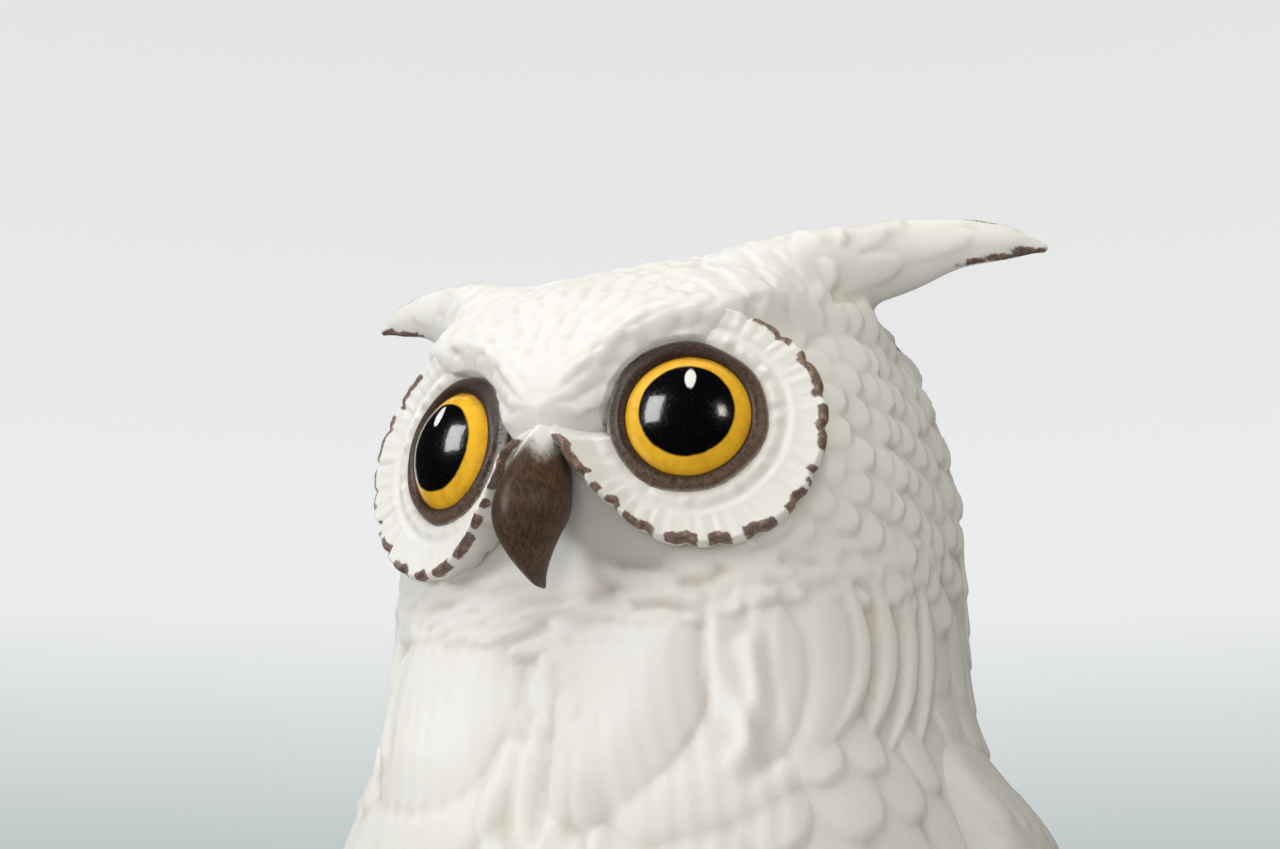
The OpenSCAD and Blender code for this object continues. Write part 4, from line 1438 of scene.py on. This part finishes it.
def placeMirrored(part, side, word, points, faces, normals, values):  # the left one, or its mirror image
    flip = [side, 1, 1]
    place(makeMesh(part + "_" + word + "_bisque", points * flip, faces if side > 0 else faces[:, ::-1],
                   bisqueLook, normals * flip, values), "bisque", part + "_" + word)


wingValues = {"crevice": wingCrevice, "barb": wingRelief.barb, "fine": np.full(len(wingPoints), 0.35)}
for side, word in sides:
    placeMirrored("wing", side, word, wingPoints, wingFaces, wingNormals, wingValues)
print("wings made")

tail = {
    "bottom": 20.0,
    "bladeHalf": 8.4,
    "feathers": 7,
}


def tailBlade(k):
    share = k / (tail["feathers"] - 1) * 2 - 1
    layer = 1.3 * (3 - abs(k - 3))
    line = catmull(np.array([
        [share * 12.5, 37 + layer * 0.4, 134], [share * 15.0, 46 + layer * 0.6, 112],
        [share * 19.0, 55.5 + layer * 0.8, 82], [share * 22.6, 60 + layer, 54],
        [share * 25.4, 62.4 + layer, 34 + 5 * abs(share)],
        [share * 26.6, 63.0 + layer, tail["bottom"] + 6 * abs(share)]]), 46)
    across = np.linspace(-1, 1, 25)
    rings = []
    barb = []
    for n, c in enumerate(line):
        u = n / (len(line) - 1)
        rounded = math.sqrt(max(1 - max(0, (u - 0.86) / 0.14) ** 2, 0.003))
        wide = tail["bladeHalf"] * (0.72 + 0.28 * smooth(u * 2)) * rounded
        thick = 2.1 - 0.9 * u
        rim = np.sqrt(1 - across ** 2)
        ridge = 0.7 * np.exp(-(across / 0.09) ** 2)
        sag = -1.6 * across ** 2
        notch = 0.35 * np.exp(-((np.abs(across) - 0.55) / 0.05) ** 2) * (u > 0.5)
        front = np.c_[c[0] + wide * across, c[1] + thick * rim + ridge * rim + sag - notch,
                      c[2] + 1.2 * np.abs(across) * (u > 0.9)]
        rear = np.c_[c[0] + wide * across, c[1] - thick * rim + sag,
                     c[2] + 1.2 * np.abs(across) * (u > 0.9)]
        rings.append(np.vstack([front, rear[::-1][1:-1]]))
        barb.append(np.r_[wide * np.abs(across) + u * 90 * 0.35, np.zeros(len(across) - 2)])
    points, faces = loopGrid(rings)
    return points, outward(points, faces), np.r_[np.concatenate(barb), 0, 0]


def joinMeshes(meshes):  # several closed meshes as one list of points and one of faces
    starts = np.cumsum([0] + [len(m[0]) for m in meshes])
    return np.vstack([m[0] for m in meshes]), np.vstack([m[1] + s for m, s in zip(meshes, starts)])


blades = [tailBlade(k) for k in range(tail["feathers"])]
points, faces = joinMeshes(blades)
barbs = np.concatenate([b[2] for b in blades])
place(makeMesh("tail_bisque", points, faces, bisqueLook, None,
               {"barb": barbs * 0.8, "fine": np.full(len(points), 1.2),
                "crevice": np.zeros(len(points))}), "bisque", "tail")

foot = {
    "pitch": 44.0,
    "y": -38.4,
    "toeThick": 11.0,
    "toeLong": 25.0,
    "turns": (-34, 0, 30, 180),
    "talonLong": 11.0,
    "talonThick": 5.0,
}


def toeAxes(turn):  # ahead along a toe, and across it
    a = math.radians(turn)
    return np.array([math.sin(a), -math.cos(a), 0]), np.array([math.cos(a), math.sin(a), 0])


def toeLength(turn):
    return foot["toeLong"] * (0.5 if turn == 180 else 1 if turn == 0 else 0.86)


def footField(x, y, z):
    half = foot["toeThick"] / 2
    ox, oy, oz = x - foot["pitch"] / 2, y - foot["y"], z - owl["seatZ"]
    f = np.sqrt(ox ** 2 + oy ** 2 + (oz - half - 2) ** 2) - half - 2
    for turn in foot["turns"]:
        a = math.radians(turn)
        length = toeLength(turn)
        for share, size, high in ((0.25, 0.98, 1.15), (0.5, 0.90, 1.0), (0.72, 0.98, 0.98),
                                  (0.98, 0.84, 0.85)):
            cx, cy = math.sin(a) * length * share, -math.cos(a) * length * share
            ball = np.sqrt((ox - cx) ** 2 + (oy - cy) ** 2 + (oz - half * high) ** 2) - half * size
            f = blendMin(f, ball, 2.2)
    return np.maximum(f, 0.2 - oz)


footPoints, footFaces = meshField(
    footField, axisMap([(0.5, 0.62), (46, 0.62)]), axisMap([(-74, 0.62), (-12, 0.7)]),
    axisMap([(41, 0.62), (62, 0.62)]))
footNormals = normalsOf(footPoints, footFaces)
footRelief = Relief(footPoints, footNormals)
for turn in foot["turns"]:
    ahead, aside = toeAxes(turn)
    for number, s in enumerate(np.arange(2, toeLength(turn) + 3, 2.6)):
        for lean in (-58, 0, 58):
            d = math.radians(lean + 14 * (number % 2))
            up = np.array([0, 0, math.cos(d)]) + aside * math.sin(d)
            p = np.array([foot["pitch"] / 2, foot["y"], owl["seatZ"] + 5.4]) + ahead * s + up * 5
            at, out = settle(p[None], footField)
            footRelief.feather(at[0], ahead, out[0], 5.0, 5.6, 0.75, tip=0.7, edge=0.8)
footLift = footRelief.height
footPoints = footPoints + footNormals * footLift[:, None]
footNormals = normalsOf(footPoints, footFaces)
# how far each point lies below its neighbours; the bisque is painted darker there as shade
footCrevice = np.clip((spread(footLift, edgesOf(footFaces), 8) - footLift) / 0.4, 0, 1)


def talonMesh(turn):
    bend = np.array([[-0.25, -0.02, 1.05], [0, 0, 1], [0.36, 0.10, 0.86], [0.68, 0.36, 0.60],
                     [0.92, 0.72, 0.30], [1.0, 0.95, 0.06]])
    ahead, aside = toeAxes(turn)
    reach = toeLength(turn) + foot["toeThick"] * 0.25
    turns = np.radians(np.linspace(0, 360, 29)[:-1])
    rings = []
    path = catmull(bend, 30)
    heel = np.array([foot["pitch"] / 2, foot["y"], owl["seatZ"]])
    for n, (go, drop, thick) in enumerate(path):
        at = heel + ahead * (reach + go * foot["talonLong"])
        at = at + [0, 0, foot["toeThick"] * 0.52 - drop * foot["talonLong"] * 0.62]
        before, after = path[max(n - 1, 0)], path[min(n + 1, len(path) - 1)]
        tangent = unit(ahead * (after[0] - before[0]) - np.array([0, 0, 0.62]) * (after[1] - before[1]))
        up = unit(np.cross(aside, tangent))
        r = foot["talonThick"] / 2 * thick
        rings.append(at + np.outer(np.cos(turns), up) * r * 1.12 + np.outer(np.sin(turns), aside) * r * 0.9)
    points, faces = loopGrid(rings)
    return points, outward(points, faces)


footValues = {"crevice": footCrevice, "barb": footRelief.barb, "fine": np.full(len(footPoints), 0.2)}
talonPoints, talonFaces = joinMeshes([talonMesh(turn) for turn in foot["turns"][:3]])
for side, word in sides:
    placeMirrored("foot", side, word, footPoints, footFaces, footNormals, footValues)
    faces = talonFaces if side > 0 else flipped(talonFaces)
    place(makeMesh("talons_" + word + "_stained", talonPoints * [side, 1, 1], faces, hornLook),
          "dark_stain", "talons_" + word)
print("tail and feet made")

stump = {
    "top": 56.0,
    "round": 50.0,
    "topDeep": 52.0,
    "high": 44.0,
    "flare": 0.125,
    "ventY": 17.0,
    "vent": 9.0,
}


def barkReach(t, low):  # how far the bark stands out round the stump, as a share, with its flared roots
    t = np.asarray(t)
    return 1 + 0.018 * np.sin(np.radians(9 * t)) + 0.012 * np.sin(np.radians(23 * t + 40)) + (
        stump["flare"] * low * low * (0.55 + 0.45 * np.sin(np.radians(5 * t + 20))))


def stumpField(x, y, z):
    low = np.clip(1 - z / stump["high"], 0, 1)
    t = np.degrees(np.arctan2(y / stump["topDeep"], x / stump["top"]))
    q = np.hypot(x / stump["top"], y / stump["topDeep"]) / barkReach(t, low)
    f = (q - 1) * stump["round"]
    f = -blendMin(-f, stump["high"] - z, 3.0)
    f = -blendMin(-f, z, 1.5)
    vent = stump["vent"] / 2 - np.hypot(x, y - stump["ventY"])
    return np.maximum(f, np.minimum(vent, 14 - z))


stumpPoints, stumpFaces = meshField(
    stumpField, axisMap([(-67, 0.9), (67, 0.9)]), axisMap([(-63, 0.9), (63, 0.9)]),
    axisMap([(-2, 0.9), (47, 0.75)]))
stumpNormals = normalsOf(stumpPoints, stumpFaces)


def barkGrooves(points, normals):
    x, y, z = points.T
    t = np.degrees(np.arctan2(y, x))
    side = 1 - np.abs(normals[:, 2])
    wander = 2.4 * np.sin(z / 13 + 1.3) + 0.8 * np.sin(z / 5.2 + t / 20)
    plates = np.abs(np.sin(np.radians((t + wander) * 9.5))) ** 0.6
    cracks = np.abs(np.sin(np.radians((t + wander * 1.7) * 21 + 40 * np.sin(z / 9)))) ** 0.5
    rough = (1.5 * plates + 0.7 * cracks - 1.3) * smooth(side * 1.6)
    d = np.hypot(x / 1.07, y)
    swing = 1.2 * np.sin(np.radians(t * 3 + 20)) + 0.8 * np.sin(np.radians(t * 7))
    rings = 0.5 * np.sin((d + swing) * 1.35) * smooth((np.abs(normals[:, 2]) - 0.8) / 0.15) * (z > 30)
    return rough + rings


stumpLift = barkGrooves(stumpPoints, stumpNormals)
stumpEdges = edgesOf(stumpFaces)
stumpCrevice = np.clip((spread(stumpLift, stumpEdges, 14) - stumpLift) / 0.8 + 0.1, 0, 1)
stumpPoints = stumpPoints + stumpNormals * stumpLift[:, None]
stumpPoints[:, 2] = np.maximum(stumpPoints[:, 2], 0)
place(makeMesh("stump_bark", stumpPoints, stumpFaces, stumpLook, None, {"crevice": stumpCrevice}),
      "base_bisque", "stump")
print("stump made")

studio = {
    "azimuth": 27.5,
    "elevation": -16.5,
    "distance": 0.440,
    "lens": 61.3,
    "aim": (17.7, -54.0, -0.6),
    "backdrop": (0.835, 0.85, 0.845, 1),
    # painted shade of the backdrop, higher up and below the horizon
    "high": (0.77, 0.785, 0.78, 1),
    "low": (0.43, 0.50, 0.495, 1),
    "fill": (0.305, 0.29, 0.26, 1),
    "reflected": 0.05,
    "floorHalf": 6000.0,
    "floor": ((0.72, 0.73, 0.73, 1), (0.76, 0.77, 0.77, 1)),
}


def direction(azimuth, elevation):  # from the owl, in degrees; azimuth 0 is straight ahead of it
    a, e = math.radians(azimuth), math.radians(elevation)
    return Vector((math.sin(a) * math.cos(e), -math.cos(a) * math.cos(e), math.sin(e)))


def softbox(name, azimuth, elevation, distance, width, height, power, colour=(1, 1, 1), beam=180,
            aimZ=0.27, seen=False, lit=True):
    # degrees, metres and watts; it may be seen in the glaze only, or light the bisque only
    aim = Vector((0, -0.02, aimZ))
    data = bpy.data.lights.new(name, "AREA")
    data.shape = "RECTANGLE"
    data.size = width
    data.size_y = height
    data.energy = power
    data.color = colour
    data.spread = math.radians(beam)
    lamp = bpy.data.objects.new(name, data)
    lamp.location = aim + direction(azimuth, elevation) * distance
    lamp.rotation_mode = "QUATERNION"
    lamp.rotation_quaternion = direction(azimuth, elevation).to_track_quat("Z", "Y")
    lamp.visible_glossy = seen
    lamp.visible_diffuse = lit
    bpy.context.scene.collection.objects.link(lamp)


def addCamera():
    data = bpy.data.cameras.new("camera")
    data.lens = studio["lens"]
    data.sensor_width = 36
    data.clip_start = 0.02
    data.clip_end = 30
    camera = bpy.data.objects.new("camera", data)
    aim = Vector(studio["aim"]) * mm + Vector((0, 0, owl["eyeZ"] * mm))
    back = direction(studio["azimuth"], studio["elevation"])
    camera.location = aim + back * studio["distance"]
    camera.rotation_mode = "QUATERNION"
    camera.rotation_quaternion = back.to_track_quat("Z", "Y")
    bpy.context.scene.collection.objects.link(camera)
    bpy.context.scene.camera = camera


def addRoom():
    world = bpy.data.worlds.new("room")
    bpy.context.scene.world = world
    board = Board(world)
    level = board.add("SeparateXYZ", {}, {0: board.add("TexCoord", {}, {}, "Generated")}, "Z")
    half = board.add("MapRange", {}, {"Value": level, "From Min": -1.0})
    # the backdrop the camera sees is painted with light and shade: brightest a little above the horizon,
    # darker below it, a little darker higher up
    stops = [(0.53, studio["low"]), (0.60, studio["backdrop"]), (0.73, studio["high"])]
    fade = board.add("ValToRGB", {"stops": stops}, {0: half})
    behind = board.add("LightPath", {}, {}, "Is Camera Ray")
    colour = board.mix(behind, studio["fill"], fade)
    glossy = board.add("LightPath", {}, {}, "Is Glossy Ray")
    strength = board.add("MapRange", {}, {"Value": glossy, "To Min": 1.0, "To Max": studio["reflected"]})
    ground = board.add("Background", {}, {"Color": colour, "Strength": strength})
    board.add("OutputWorld", {}, {"Surface": ground})


def addFloor():
    board = finishBoard("pale_floor")
    tone = board.mix(board.noise(60, 2), *studio["floor"])
    look = board.finish(Base_Color=tone, Roughness=0.7, Specular_IOR_Level=0.2)
    corners = np.array([[-1, -1, 0], [1, -1, 0], [1, 1, 0], [-1, 1, 0]]) * studio["floorHalf"]
    floor = makeMesh("floor", corners, np.array([[0, 1, 2, 3]]), look)
    floor.visible_glossy = False


addCamera()
addRoom()
addFloor()
softbox("key_softbox", -42, 14, 1.25, 0.42, 0.95, 0.50, (0.985, 0.995, 1.0), beam=28, aimZ=0.345)
softbox("window", -30, 24, 1.25, 0.5, 0.7, 9.5, seen=True, lit=False)
softbox("side_softbox", 66, 18, 1.3, 0.25, 0.45, 0.072, (1.0, 0.94, 0.84), beam=24, aimZ=0.355, seen=True)
softbox("top_softbox", -30, 66, 1.3, 1.0, 1.0, 7.5)
softbox("crest_card", 30, 38, 1.3, 0.2, 0.2, 0.044, beam=16, aimZ=0.345)
softbox("front_card", 16, -8, 1.0, 0.5, 0.3, 0.07, (1.0, 0.97, 0.92), beam=30, aimZ=0.30)
bpy.context.scene.view_settings.view_transform = "Standard"
print("studio set")
